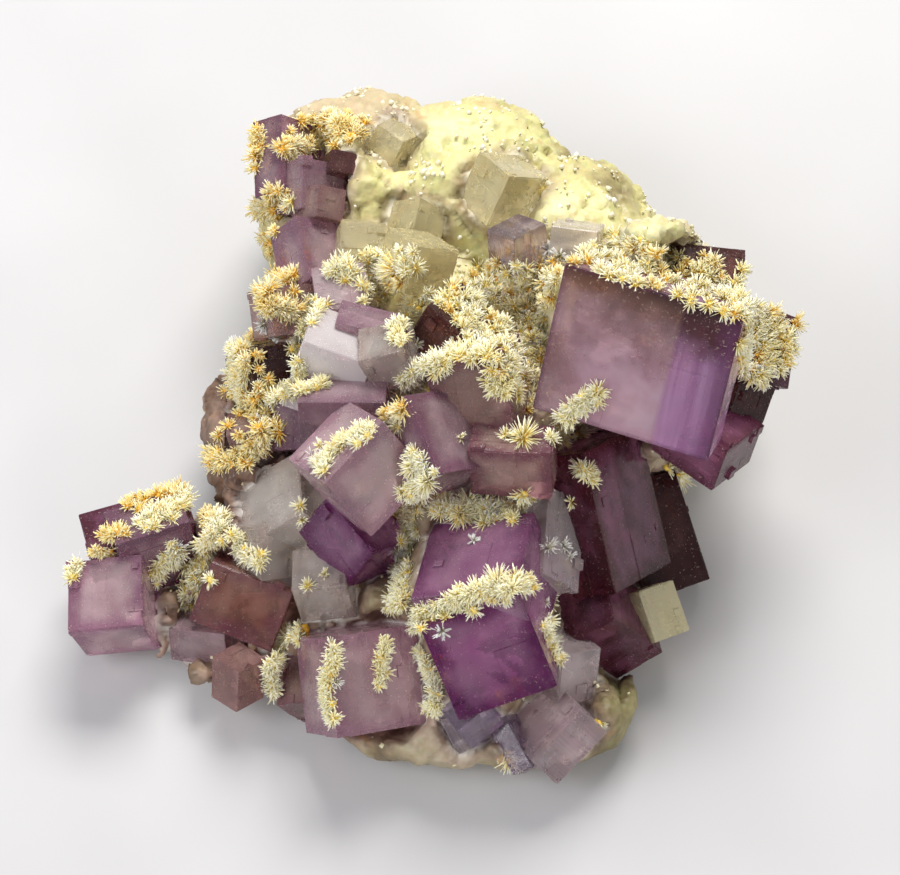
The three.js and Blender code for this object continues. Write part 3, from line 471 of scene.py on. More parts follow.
def growth_blocks(row):
    """The block itself and what grew on it: thin rectangular terraces and small parallel cubes."""
    name, c, q, s = row
    rnd = seed(name)
    h = np.array(s) / 2
    out = [(-h, h, 0.10)]
    small = min(s)
    for axis in range(3):
        for side in (-1, 1):
            a, b = [k for k in range(3) if k != axis]
            # terraces: each starts from an edge or a corner of the face
            for k in range(4 if small > 5 else 2):
                lo, hi = -h.copy(), h.copy()
                for e in (a, b):
                    if rnd.random() < 0.75:
                        cut = rnd.uniform(0.12, 0.75) * s[e]
                        if rnd.random() < 0.5:
                            lo[e] = h[e] - (s[e] - cut)
                        else:
                            hi[e] = -h[e] + (s[e] - cut)
                    inset = rnd.choice([0.0, 0.0, 0.05, 0.12, 0.3])
                    lo[e] += inset
                    hi[e] -= inset
                t = rnd.choice([0.03, 0.045, 0.06, 0.09, 0.13]) * (1.0 if small > 5 else 0.8)
                if hi[a] - lo[a] < 0.8 or hi[b] - lo[b] < 0.8:
                    continue
                if side > 0:
                    lo[axis], hi[axis] = 0.0, h[axis] + t
                else:
                    lo[axis], hi[axis] = -h[axis] - t, 0.0
                out.append((lo, hi, min(0.04, t * 0.6)))
            # small parallel cubes, mostly near the face's edges
            for k in range(rnd.choice([1, 2, 3, 4]) if small > 5 else 1):
                w = rnd.uniform(0.35, 1.3) * (1.0 if small > 5 else 0.6)
                mid = np.zeros(3)
                for e in (a, b):
                    u = rnd.random() ** 0.45
                    mid[e] = (h[e] - w * 0.4) * u * rnd.choice([-1, 1])
                mid[axis] = side * (h[axis] - w * rnd.uniform(0.22, 0.42))
                size = np.array([w * rnd.uniform(0.8, 1.5) for _ in range(3)]) / 2
                out.append((mid - size, mid + size, 0.03))
    return out + EXTRA_BLOCKS.get(name, [])


# Steps seen on single crystals, in the crystal's own axes: low corner, high corner, bevel.
EXTRA_BLOCKS = {}


def crystal_mesh(node, rows):
    """One closed mesh for a group of crystals grown together."""
    base = None
    parts = []
    for row in rows:
        c, m, s = frame_of(row)
        for lo, hi, bev in growth_blocks(row):
            v, f = chamfered_block(lo, hi, bev)
            parts.append((c + v @ m.T, f))
    # overlapping closed blocks, joined by one boolean against the first
    v0, f0 = parts[0]
    base = new_object(node + "_tmp", mesh_from(node + "_tmp", v0, f0))
    coll = bpy.data.collections.new(node + "_add")
    scene.collection.children.link(coll)
    adds = []
    for k, (v, f) in enumerate(parts[1:]):
        o = bpy.data.objects.new(f"{node}_a{k}", mesh_from(f"{node}_a{k}", v, f))
        coll.objects.link(o)
        adds.append(o)
    mod = base.modifiers.new("join", "BOOLEAN")
    mod.operation = "UNION"
    mod.operand_type = "COLLECTION"
    mod.collection = coll
    mod.solver = "MANIFOLD"
    me = evaluated(base)
    ok = len(me.polygons) > 12
    if not ok:
        print("boolean gave nothing for", node)
    for o in adds:
        d = o.data
        bpy.data.objects.remove(o)
        bpy.data.meshes.remove(d)
    bpy.data.collections.remove(coll)
    d = base.data
    bpy.data.objects.remove(base)
    bpy.data.meshes.remove(d)
    bm = bmesh.new()
    bm.from_mesh(me)
    for v in bm.verts:
        v.co.z = max(v.co.z, 0.02 * MM)
    bmesh.ops.remove_doubles(bm, verts=bm.verts, dist=0.002 * MM)
    bmesh.ops.triangulate(bm, faces=[f for f in bm.faces if len(f.verts) > 4])
    bm.to_mesh(me)
    bm.free()
    me.name = node
    return me


def mark_faces(me, rows):
    """For each face corner: place on its face in mm (x, y along the crystal's edges, z the crystal's number),
    how far it is from the face's nearest edge, and the crystal's tone, which on some faces is painted light and shade."""
    co = coords(me) / MM
    nl = len(me.loops)
    vi = np.empty(nl, np.int32)
    me.loops.foreach_get("vertex_index", vi)
    pn = len(me.polygons)
    start = np.empty(pn, np.int32)
    total = np.empty(pn, np.int32)
    me.polygons.foreach_get("loop_start", start)
    me.polygons.foreach_get("loop_total", total)
    cen = np.empty(pn * 3, np.float32)
    nor = np.empty(pn * 3, np.float32)
    me.polygons.foreach_get("center", cen)
    me.polygons.foreach_get("normal", nor)
    cen = cen.reshape(-1, 3) / MM
    nor = nor.reshape(-1, 3)
    owner = np.repeat(np.arange(pn), total)
    best = np.full(pn, 1e9)
    pick = np.zeros(pn, int)
    local = []
    for k, row in enumerate(rows):
        c, m, s = frame_of(row)
        q = (cen - c) @ m
        d = np.max(np.abs(q) - s / 2, axis=1)
        local.append((c, m, s))
        better = np.abs(d) < best
        best[better] = np.abs(d)[better]
        pick[better] = k
    place = np.zeros((nl, 3), np.float32)
    half = np.zeros((nl, 3), np.float32)
    for k, (c, m, s) in enumerate(local):
        poly = np.where(pick == k)[0]
        if not len(poly):
            continue
        axis = np.argmax(np.abs(nor[poly] @ m), axis=1)
        sel = np.isin(owner, poly)
        ax_of = np.zeros(pn, int)
        ax_of[poly] = axis
        a = ax_of[owner[sel]]
        q = (co[vi[sel]] - c) @ m
        u = np.where(a == 0, q[:, 1], q[:, 0])
        v = np.where(a == 2, q[:, 1], q[:, 2])
        place[sel, 0] = u
        place[sel, 1] = v
        place[sel, 2] = k * 37.0 + a * 11.0
        half[sel, 0] = np.where(a == 0, s[1], s[0]) / 2
        half[sel, 1] = np.where(a == 2, s[1], s[2]) / 2
    at = me.attributes.new("face_mm", "FLOAT_VECTOR", "CORNER")
    at.data.foreach_set("vector", place.ravel())
    cell = place.copy()
    cell[:, 0] += place[:, 2] * 1.37
    cell[:, 1] += place[:, 2] * 0.61
    at = me.attributes.new("cell_mm", "FLOAT_VECTOR", "CORNER")
    at.data.foreach_set("vector", cell.ravel())
    at = me.attributes.new("half_mm", "FLOAT_VECTOR", "CORNER")
    at.data.foreach_set("vector", half.ravel())
    for word, col in (("tone", 1), ("rim", 2)):
        value = np.array([SHADES[r[0]][col] for r in rows], np.float32)[pick]
        if word == "tone":
            # some faces take their own tone from the face table: painted light and shade
            for k, row in enumerate(rows):
                for axis, tone in FACE_SHADING_TONES.get(row[0], {}).items():
                    axes = np.argmax(np.abs(nor @ local[k][1]), axis=1)
                    value[(pick == k) & (axes == axis)] = tone
        at = me.attributes.new(word, "FLOAT", "FACE")
        at.data.foreach_set("value", value)


def fluorite(name, dark, light, absorb, density, through=0.85, rough=(0.06, 0.28), relief=1.0, streaks=0.0, rim_colour=None, specks=0.5, shine=0.4):
    k = Mat(name)
    rim_colour = rim_colour or tuple(c * 0.55 for c in dark)
    place = k.attr("face_mm", "Vector")
    # colour: cloudy patches, paler and darker zones parallel to the faces
    clouds = k.noise(190, 2, 0.62)
    zones = k.noise(1.0, 1, 0.5, vec=k.stretch(place, (0.35, 0.10, 0.09)))
    amount = k.math("ADD", k.math("MULTIPLY", clouds, 0.6), k.math("MULTIPLY", zones, 0.4))
    # the tone shifts the colour; on some faces that tone is painted light and shade
    amount = k.math("ADD", amount, k.span(k.attr("tone"), 0.0, 1.0, -0.24, 0.24))
    col = k.ramp(amount, [(0.30, dark), (0.68, light)])
    # rims: colour gathers along the edges of each face
    half = k.attr("half_mm", "Vector")
    gap = k.n("ShaderNodeVectorMath", operation="ABSOLUTE")
    k.link(place, gap.inputs[0])
    away = k.n("ShaderNodeVectorMath", operation="SUBTRACT")
    k.link(half, away.inputs[0])
    k.link(gap.outputs[0], away.inputs[1])
    xyz = k.n("ShaderNodeSeparateXYZ")
    k.link(away.outputs[0], xyz.inputs[0])
    near = k.math("MINIMUM", xyz.outputs[0], xyz.outputs[1])
    near = k.math("ADD", near, k.span(clouds, 0.3, 0.7, -0.9, 0.9))
    edge = k.n("ShaderNodeMapRange", interpolation_type="SMOOTHSTEP")
    edge.inputs["From Min"].default_value = 0.2
    edge.inputs["From Max"].default_value = 2.6
    edge.inputs["To Min"].default_value = 1.0
    edge.inputs["To Max"].default_value = 0.0
    k.link(near, edge.inputs["Value"])
    col = k.mix(k.math("MULTIPLY", edge.outputs["Result"], k.attr("rim")), col, rim_colour)
    fine = k.noise(3200, 1, 0.7)
    if streaks:
        lines = k.noise(1.0, 2, 0.6, vec=k.stretch(place, (2.6, 0.07, 0.05)))
        col = k.mix(k.span(lines, 0.46, 0.62, 0.0, streaks), col, light)
    grit = k.span(k.math("ADD", fine, k.span(near, 0.0, 2.5, 0.03, 0.0)), 0.68, 0.74, 0.0, specks)
    col = k.mix(grit, col, (0.80, 0.72, 0.58))
    k.link(col, k.b.inputs["Base Color"])
    # frosting in patches
    frost = k.noise(330, 2, 0.7)
    rr = k.math("ADD", k.span(frost, 0.38, 0.66, rough[0] + 0.03, rough[1] + 0.03), k.math("MULTIPLY", grit, 0.3))
    k.link(rr, k.b.inputs["Roughness"])
    # relief: rectangular growth hillocks, fine scratches and a fine grain
    hill = k.voronoi(1.0, vec=k.stretch(k.attr("cell_mm", "Vector"), (0.55, 0.9, 1.0)), metric="CHEBYCHEV", flat=True)
    lines = k.noise(1.0, 1, 0.6, vec=k.stretch(place, (0.25, 7.0, 1.0)))
    k.bump([(hill, 0.05 * relief, 0.35), (k.math("ADD", lines, k.noise(1900, 1, 0.7)), 0.03 * relief, 0.45)])
    k.set(Transmission_Weight=through, IOR=1.434, Specular_IOR_Level=shine)
    k.absorb(absorb, density)
    return k.m


def large_cube(name):
    """The large cube: brown and hazy at its upper left, rosy lilac in the middle, a second, deeper growth down its right side."""
    k = Mat(name)
    place = k.attr("face_mm", "Vector")
    xyz = k.n("ShaderNodeSeparateXYZ")
    k.link(place, xyz.inputs[0])
    u, v = xyz.outputs[0], xyz.outputs[1]
    clouds = k.noise(150, 3, 0.62)
    wob = k.span(clouds, 0.3, 0.7, -1.9, 1.9)
    col = k.ramp(clouds, [(0.34, (0.74, 0.45, 0.58)), (0.64, (0.97, 0.73, 0.85))])
    # brown haze from the top edge and the left edge inwards (v runs down the face, u to the right)
    top = k.span(k.math("ADD", v, wob), -8.0, 2.5, 1.0, 0.0)
    left = k.span(k.math("ADD", u, wob), -11.8, -6.5, 0.7, 0.0)
    haze = k.math("MAXIMUM", top, left)
    col = k.mix(haze, col, (0.29, 0.155, 0.125))
    # the second growth: deep maroon above, glowing violet below, with upright streaks
    streak = k.noise(1.0, 2, 0.6, vec=k.stretch(place, (0.75, 0.04, 0.05)))
    side = k.span(k.math("ADD", u, k.math("MULTIPLY", wob, 0.12)), 3.7, 4.4, 0.0, 0.86)
    glow = k.mix(k.span(streak, 0.28, 0.66, 0.0, 1.0), (0.50, 0.21, 0.48), (0.80, 0.47, 0.82))
    low = k.span(k.math("ADD", v, wob), -6.5, -0.5, 0.0, 1.0)
    deep = k.mix(low, (0.11, 0.03, 0.05), glow)
    end = k.span(u, 8.2, 10.6, 0.0, 0.75)
    deep = k.mix(end, deep, (0.20, 0.05, 0.20))
    col = k.mix(side, col, deep)
    dark_top = k.span(k.math("ADD", v, k.math("MULTIPLY", wob, 0.2)), -9.4, -7.6, 0.9, 0.0)
    col = k.mix(dark_top, col, (0.05, 0.016, 0.016))
    half = k.attr("half_mm", "Vector")
    hx = k.n("ShaderNodeSeparateXYZ")
    k.link(half, hx.inputs[0])
    du = k.math("SUBTRACT", hx.outputs[0], k.math("ABSOLUTE", u))
    dv = k.math("SUBTRACT", hx.outputs[1], k.math("ABSOLUTE", v))
    near = k.math("MINIMUM", du, dv)
    col = k.mix(k.span(near, 0.0, 0.6, 0.6, 0.0), col, (0.16, 0.04, 0.12))
    grit = k.span(k.noise(3000, 1, 0.7), 0.64, 0.70, 0.0, 0.7)
    grit = k.math("MULTIPLY", grit, k.span(haze, 0.0, 0.6, 0.25, 1.0))
    col = k.mix(grit, col, (0.84, 0.72, 0.58))
    k.link(col, k.b.inputs["Base Color"])
    frost = k.noise(330, 2, 0.7)
    r = k.math("ADD", k.span(frost, 0.38, 0.66, 0.08, 0.26), k.math("MULTIPLY", haze, 0.16))
    k.link(r, k.b.inputs["Roughness"])
    hill = k.voronoi(1.0, vec=k.stretch(k.attr("cell_mm", "Vector"), (0.45, 0.8, 1.0)), metric="CHEBYCHEV", flat=True)
    lines = k.noise(1.0, 1, 0.6, vec=k.stretch(place, (6.0, 0.25, 1.0)))
    k.bump([(hill, 0.05, 0.3), (k.math("ADD", lines, k.noise(1800, 1, 0.7)), 0.03, 0.45)])
    k.set(Transmission_Weight=0.68, IOR=1.434, Specular_IOR_Level=0.4)
    k.absorb((0.74, 0.44, 0.66), 28)
    return k.m


# ------------------------------------------------------------------ materials
M = {}
M["large"] = large_cube("fluorite_large_cube")
M["purple"] = fluorite("fluorite_purple", (0.34, 0.10, 0.28), (0.62, 0.34, 0.52), (0.66, 0.30, 0.60), 60, through=0.72, rim_colour=(0.20, 0.025, 0.16))
M["dark"] = fluorite("fluorite_dark", (0.14, 0.035, 0.06), (0.60, 0.25, 0.42), (0.58, 0.24, 0.44), 80, through=0.74, rim_colour=(0.12, 0.02, 0.03), shine=0.12)
M["maroon"] = fluorite("fluorite_maroon", (0.11, 0.035, 0.035), (0.33, 0.16, 0.15), (0.56, 0.28, 0.30), 90, through=0.72, rim_colour=(0.07, 0.016, 0.02), shine=0.15)
M["brown"] = fluorite("fluorite_brown_mauve", (0.42, 0.24, 0.21), (0.68, 0.47, 0.42), (0.72, 0.46, 0.46), 38, through=0.68, rim_colour=(0.30, 0.11, 0.16))
M["mauve"] = fluorite("fluorite_mauve", (0.41, 0.245, 0.30), (0.75, 0.56, 0.62), (0.74, 0.48, 0.64), 38, through=0.68, rim_colour=(0.32, 0.13, 0.23))
M["rose"] = fluorite("fluorite_rose", (0.56, 0.35, 0.40), (0.86, 0.67, 0.70), (0.82, 0.58, 0.68), 32, through=0.68, rim_colour=(0.42, 0.20, 0.31))
M["lilac"] = fluorite("fluorite_lilac", (0.80, 0.69, 0.72), (0.97, 0.92, 0.93), (0.88, 0.76, 0.84), 16, through=0.5, rim_colour=(0.66, 0.50, 0.55))
M["grey"] = fluorite("fluorite_grey", (0.64, 0.55, 0.49), (0.92, 0.87, 0.82), (0.86, 0.76, 0.74), 18, through=0.68, rough=(0.06, 0.25), rim_colour=(0.58, 0.45, 0.41), streaks=0.2)
M["clear"] = fluorite("fluorite_clear", (0.70, 0.55, 0.66), (0.94, 0.87, 0.92), (0.80, 0.66, 0.84), 25, through=0.88, rough=(0.02, 0.16), streaks=0.6)
M["violet"] = fluorite("fluorite_violet", (0.54, 0.38, 0.60), (0.82, 0.71, 0.86), (0.70, 0.54, 0.82), 35, through=0.84, rough=(0.03, 0.18), streaks=0.5)
M["frosted"] = fluorite("fluorite_frosted", (0.66, 0.50, 0.55), (0.95, 0.86, 0.88), (0.84, 0.67, 0.77), 24, through=0.74, rough=(0.16, 0.40), specks=0.8, streaks=0.3)
M["beige"] = fluorite("crystal_beige", (0.84, 0.68, 0.36), (0.99, 0.92, 0.58), (0.93, 0.83, 0.56), 12, through=0.70, rough=(0.12, 0.36), specks=0.25, rim_colour=(0.72, 0.62, 0.42))
M["cream_crystal"] = fluorite("crystal_cream", (0.66, 0.58, 0.32), (0.90, 0.84, 0.55), (0.93, 0.87, 0.64), 14, through=0.5, rough=(0.12, 0.35), specks=0.25, rim_colour=(0.86, 0.80, 0.56))
M["reddish"] = fluorite("fluorite_reddish", (0.30, 0.11, 0.08), (0.62, 0.36, 0.29), (0.74, 0.42, 0.38), 45, through=0.70, rim_colour=(0.24, 0.06, 0.15))


def make_matrix_material():
    k = Mat("matrix_rock")
    geo = k.n("ShaderNodeSeparateXYZ")
    k.link(k.co, geo.inputs[0])
    x, y, z = geo.outputs
    big = k.noise(60, 2, 0.6, distort=0.5)
    mid = k.noise(230, 3, 0.66)
    cells = k.n("ShaderNodeTexVoronoi", feature="F1")
    cells.inputs["Scale"].default_value = 1300
    k.link(k.co, cells.inputs["Vector"])
    sugar, sugar_tone = cells.outputs["Distance"], cells.outputs["Color"]
    lemon = k.ramp(k.math("ADD", k.math("MULTIPLY", big, 0.65), k.math("MULTIPLY", mid, 0.35)),
                   [(0.30, (0.34, 0.27, 0.12)), (0.42, (0.56, 0.50, 0.22)), (0.52, (0.70, 0.66, 0.29)), (0.62, (0.78, 0.75, 0.39)), (0.78, (0.83, 0.80, 0.55))])
    beige = k.ramp(k.math("ADD", k.math("MULTIPLY", big, 0.5), k.math("MULTIPLY", mid, 0.5)),
                   [(0.30, (0.10, 0.07, 0.03)), (0.43, (0.24, 0.18, 0.10)), (0.55, (0.42, 0.35, 0.23)), (0.70, (0.60, 0.53, 0.40))])
    # pale lemon on the bare upper end, duller beige and grey below and in front
    up = k.math("ADD", k.span(y, -0.004, 0.016, 0.0, 0.75), k.span(z, 0.006, 0.030, -0.15, 0.35))
    up = k.math("ADD", up, k.span(big, 0.35, 0.65, -0.3, 0.3))
    t = k.span(up, 0.25, 0.75, 0.0, 1.0)
    col = k.mix(t, beige, lemon)
    # greyish and brownish beige between the bare lemon top and the crystals
    belt = k.math("MULTIPLY", k.span(k.math("ADD", y, k.span(mid, 0.3, 0.7, -0.004, 0.004)), 0.024, 0.016, 0.0, 1.0), k.span(big, 0.40, 0.56, 0.85, 0.25))
    belt = k.math("MULTIPLY", belt, k.span(y, -0.008, 0.002, 0.0, 1.0))
    col = k.mix(belt, col, k.ramp(mid, [(0.35, (0.58, 0.50, 0.31)), (0.65, (0.86, 0.82, 0.60))]))
    # darker purple-brown along the left edge
    edge = k.math("MULTIPLY", k.span(x, -0.014, -0.021, 0.0, 0.95), k.span(z, 0.002, 0.010, 0.3, 1.0))
    col = k.mix(k.math("MULTIPLY", edge, k.span(y, 0.026, 0.018, 0.2, 1.0)), col, k.ramp(mid, [(0.35, (0.10, 0.05, 0.035)), (0.65, (0.34, 0.21, 0.14))]))
    # pinkish beige on the far rim
    rim = k.math("ADD", k.span(y, 0.030, 0.042, 0.0, 0.9), k.span(x, 0.004, -0.012, -0.6, 0.0))
    col = k.mix(k.span(k.math("ADD", rim, k.span(big, 0.35, 0.65, -0.2, 0.2)), 0.2, 0.7, 0.0, 0.7), col, (0.50, 0.37, 0.26))
    # olive at the front right foot, darkened as painted shade, since the foot lies in shadow
    shaded_foot = k.math("MULTIPLY", k.span(y, -0.012, -0.026, 0.0, 1.0), k.span(x, 0.004, 0.014, 0.0, 1.0))
    col = k.mix(k.math("MULTIPLY", shaded_foot, 0.9), col, k.ramp(mid, [(0.35, (0.15, 0.12, 0.04)), (0.65, (0.38, 0.34, 0.15))]))
    tint = k.mix(0.10, (1, 1, 1), sugar_tone)
    col = k.mix(0.8, col, tint, "MULTIPLY")
    # darker purple-brown on the rock next to the crystals
    col = k.mix(k.math("MULTIPLY", k.attr("near"), 0.85), col, k.ramp(mid, [(0.35, (0.13, 0.07, 0.06)), (0.65, (0.38, 0.24, 0.20))]))
    # and where crystals grow out of it, milky
    col = k.mix(k.attr("covered"), col, (0.93, 0.89, 0.85))
    # rust stains
    stain = k.span(k.noise(120, 2, 0.6, distort=1.0), 0.62, 0.72, 0.0, 0.55)
    col = k.mix(stain, col, (0.50, 0.27, 0.08))
    k.link(col, k.b.inputs["Base Color"])
    k.link(k.span(mid, 0.3, 0.7, 0.3, 0.7), k.b.inputs["Roughness"])
    k.bump([(mid, 0.45, 0.5), (sugar, 0.14, 0.55)])
    k.set(IOR=1.5)
    return k.m


def make_grain_material():
    k = Mat("matrix_grains")
    tone = k.attr("tone")
    mid = k.noise(400, 4, 0.6)
    a = k.ramp(tone, [(0.0, (0.62, 0.52, 0.30)), (0.35, (0.82, 0.76, 0.48)), (0.7, (0.90, 0.86, 0.62)), (1.0, (0.95, 0.93, 0.82))])
    col = k.mix(k.span(mid, 0.4, 0.7, 0.0, 0.5), a, (0.72, 0.64, 0.46))
    k.link(col, k.b.inputs["Base Color"])
    k.link(k.span(mid, 0.3, 0.7, 0.10, 0.35), k.b.inputs["Roughness"])
    k.bump([(k.noise(3000, 2, 0.5), 0.02, 0.5)])
    k.set(IOR=1.5)
    return k.m


def make_needle_material(name, stops, through=0.0):
    k = Mat(name)
    along = k.attr("along")
    tone = k.attr("tone")
    shift = k.math("ADD", along, k.span(tone, 0.0, 1.0, -0.2, 0.2))
    shift = k.math("ADD", shift, k.span(k.noise(300, 1, 0.6), 0.35, 0.65, -0.12, 0.12))
    k.link(k.ramp(shift, stops), k.b.inputs["Base Color"])
    k.link(k.span(tone, 0.0, 1.0, 0.22, 0.42), k.b.inputs["Roughness"])
    k.set(IOR=1.55, Transmission_Weight=through)
    return k.m


M["matrix"] = make_matrix_material()
M["grain"] = make_grain_material()
M["cream"] = make_needle_material("needles_cream", [(0.0, (0.97, 0.70, 0.12)), (0.20, (0.98, 0.82, 0.28)), (0.45, (0.99, 0.89, 0.45)), (0.75, (0.99, 0.94, 0.60)), (1.0, (0.99, 0.97, 0.80))])
M["gold"] = make_needle_material("needles_gold", [(0.0, (0.90, 0.48, 0.03)), (0.28, (0.96, 0.63, 0.10)), (0.55, (0.98, 0.76, 0.24)), (0.82, (0.98, 0.85, 0.42)), (1.0, (0.98, 0.92, 0.66))])
M["white"] = make_needle_material("needles_white", [(0.0, (0.86, 0.78, 0.50)), (0.3, (0.94, 0.91, 0.78)), (0.7, (0.97, 0.96, 0.93)), (1.0, (0.99, 0.99, 0.98))], 0.25)

# ------------------------------------------------------------- build: crystals
pieces = {}
for node, rows in CRYSTALS.items():
    looks = []
    for row in rows:
        if SHADES[row[0]][0] not in looks:
            looks.append(SHADES[row[0]][0])
    for look in looks:
        some = [row for row in rows if SHADES[row[0]][0] == look]
        me = crystal_mesh(f"{node}_{look}", some)
        mark_faces(me, some)
        o = new_object(f"{node}_{look}", me)
        finish_piece(o, M[look], [node])
        pieces[(node, look)] = o


# --------------------------------------------------------------- build: matrix
def tree_of(objs):
    v, f, who = [], [], []
    base = 0
    for k, o in enumerate(objs):
        co = coords(o.data) / MM
        v.extend(map(tuple, co))
        for p in o.data.polygons:
            f.append([base + i for i in p.vertices])
            who.append(k)
        base += len(co)
    return BVHTree.FromPolygons(v, f), who


CRYSTAL_TREE, CRYSTAL_OWNER = tree_of(list(pieces.values()))


def soften(me, values):
    """Mean of each point's value and those of its neighbours."""
    e = np.empty(len(me.edges) * 2, np.int32)
    me.edges.foreach_get("vertices", e)
    e = e.reshape(-1, 2)
    total = np.array(values, float)
    number = np.ones(len(values))
    for a, b in ((0, 1), (1, 0)):
        np.add.at(total, e[:, a], np.asarray(values, float)[e[:, b]])
        np.add.at(number, e[:, a], 1.0)
    return total / number


def facet(v, scale):
    """Height in mm of a surface broken into blunt, tilted blocks of about 1/scale mm."""
    d, pts = noise.voronoi(v * scale)
    c = pts[0]
    lean = noise.cell_vector(c * 57.3) - Vector((0.5, 0.5, 0.5))
    tilt = (v * scale - c).dot(lean) / scale
    return max(-0.9 / scale * 0.4, min(0.9 / scale * 0.4, tilt * 1.5)) - 0.10 / scale * max(0.0, 1 - (d[1] - d[0]) * 6)


def matrix_mesh():
    src = NODES["matrix"].data.copy()
    bm = bmesh.new()
    bm.from_mesh(src)
    bmesh.ops.remove_doubles(bm, verts=bm.verts, dist=0.01 * MM)
    bm.to_mesh(src)
    bm.free()
    o = new_object("matrix_tmp", src)
    mod = o.modifiers.new("cells", "REMESH")
    mod.mode = "VOXEL"
    mod.voxel_size = 0.5 * MM
    me = evaluated(o)
    bpy.data.objects.remove(o)
    co = coords(me) / MM
    no = np.empty(len(me.vertices) * 3, np.float32)
    me.vertices.foreach_get("normal", no)
    no = no.reshape(-1, 3).astype(float)
    flat = co[:, 2] < 0.45
    out = np.empty(len(co))
    for i, p in enumerate(co):
        v = Vector(p)
        lumps = noise.fractal(v * 0.10, 1.0, 2.0, 3)
        coarse = facet(v, 0.30)
        middle = facet(v + Vector((3.3, 9.1, 4.7)), 0.62)
        small = facet(v + Vector((8.3, 1.1, 2.7)), 1.25)
        out[i] = 0.80 * lumps + 0.72 * coarse + 0.42 * middle + 0.20 * small + 0.05
    # out of the underside nothing grows; near it the relief fades
    fade = np.clip((co[:, 2] - 0.6) / 3.0, 0, 1)
    # the worn foot at the front is smoother
    fade = fade * (1 - 0.6 * np.clip((-co[:, 1] - 10) / 8, 0, 1) * np.clip((co[:, 0] + 20) / 10, 0, 1))
    fade = fade * (1 - 0.4 * np.clip((co[:, 1] - 12) / 8, 0, 1))
    grow = 0.40 + out * fade
    side = no.copy()
    side[flat, 2] = 0
    co2 = co + side * np.where(flat, 0.0, grow)[:, None]
    co2[:, 2] = np.where(flat, np.maximum(co[:, 2], 0.0), np.maximum(co2[:, 2], 0.02))
    me.vertices.foreach_set("co", (co2 * MM).astype(np.float32).ravel())
    me.update()
    near = np.zeros(len(co2), np.float32)
    covered = np.zeros(len(co2), np.float32)
    for i, p in enumerate(co2):
        v, n = Vector(p), Vector(no[i])
        out_hit = CRYSTAL_TREE.ray_cast(v - n * 0.3, n, 25.0)
        if out_hit[0] is not None and (out_hit[1].dot(n) > 0 or out_hit[3] < 0.7):
            covered[i] = 1.0
            continue
        hit = CRYSTAL_TREE.find_nearest(v, 2.6)
        if hit[0] is not None:
            near[i] = max(0.0, min(1.0, 1.15 - hit[3] / 2.2))
    covered = soften(me, covered)
    near = soften(me, soften(me, near))
    point_value(me, "near", near * (1 - covered))
    point_value(me, "covered", covered)
    for p in me.polygons:
        p.use_smooth = True
    me.name = "matrix_rock"
    return me


rock = matrix_mesh()
matrix = new_object("matrix_rock", rock)
finish_piece(matrix, M["matrix"], ["matrix"])


# ------------------------------------------------- rays onto what has been made
solids = list(pieces.values()) + [matrix]
TREE, OWNER = tree_of(solids)
EYE = TARGET + FACING * DISTANCE


def at_pixel(px, py):
    """First thing met along the picture's ray: point, normal, owner number."""
    aim = TARGET + RIGHT * (px - 450) * PIXEL + UPWARD * (437.5 - py) * PIXEL
    d = Vector(aim - EYE).normalized()
    p, n, i, _ = TREE.ray_cast(Vector(EYE), d)
    if p is None:
        return None
    if n.dot(d) > 0:
        n = -n
    return np.array(p), np.array(n), OWNER[i]


# ----------------------------------------------------------- build: fine grains
def grain_shape(rnd, size):
    """A small blocky crystal: a cube with uneven edges, turned at random."""
    q = Quaternion([rnd.gauss(0, 1) for _ in range(4)]).normalized()
    m = np.array(q.to_matrix())
    h = size * np.array([rnd.uniform(0.7, 1.2) for _ in range(3)]) / 2
    v = np.array([[i, j, k] for i in (-1, 1) for j in (-1, 1) for k in (-1, 1)], float) * h
    return v @ m.T


CUBE_TRIS = np.array([[0, 1, 3], [0, 3, 2], [4, 6, 7], [4, 7, 5], [0, 4, 5], [0, 5, 1],
                      [2, 3, 7], [2, 7, 6], [0, 2, 6], [0, 6, 4], [1, 5, 7], [1, 7, 3]])


def grains(count):
    rnd = random.Random(41)
    co = coords(rock) / MM
    tris = []
    for p in rock.polygons:
        vs = p.vertices
        tris.append((vs[0], vs[1], vs[2], p.area / MM / MM))
    area = np.array([t[3] for t in tris])
    centre = np.array([co[list(t[:3])].mean(0) for t in tris])
    clump = np.array([noise.noise(Vector(c) * 0.22) for c in centre])
    # grains lie in drifts, mostly on the upper faces
    weight = area * np.clip(0.25 + 0.05 * (centre[:, 1] + 5), 0.2, 1.6) * np.clip(0.15 + 2.2 * clump, 0.03, 1.2)
    weight[centre[:, 2] < 2.5] *= 0.15
    cum = np.cumsum(weight) / weight.sum()
    V, F, T = [], [], []
    for i in range(count):
        k = int(np.searchsorted(cum, rnd.random()))
        p = centre[k] + np.array([rnd.uniform(-.3, .3) for _ in range(3)])
        size = 0.22 + 0.5 * rnd.random() ** 3
        n = np.array(rock.polygons[k].normal)
        v = grain_shape(rnd, size) + p + n * size * rnd.uniform(-0.25, 0.05)
        if v[:, 2].min() < 0.1:
            continue
        F.append(CUBE_TRIS + 8 * len(V))
        V.append(v)
        lemon = np.clip((p[1] + 2) / 22, 0, 1)
        T.append(np.full(8, np.clip(rnd.gauss(0.35 + 0.35 * lemon, 0.22), 0, 1)))
    me = tri_mesh("matrix_grains", np.concatenate(V), np.concatenate(F))
    point_value(me, "tone", np.concatenate(T))
    return me


grain_obj = new_object("matrix_grains", grains(3000))
finish_piece(grain_obj, M["grain"])


# --------------------------------------------------------------- build: needles
ICO = bmesh.new()
bmesh.ops.create_icosphere(ICO, subdivisions=1, radius=1.0)
ICO_V = np.array([v.co for v in ICO.verts])
ICO_F = np.array([[v.index for v in f.verts] for f in ICO.faces])
ICO.free()


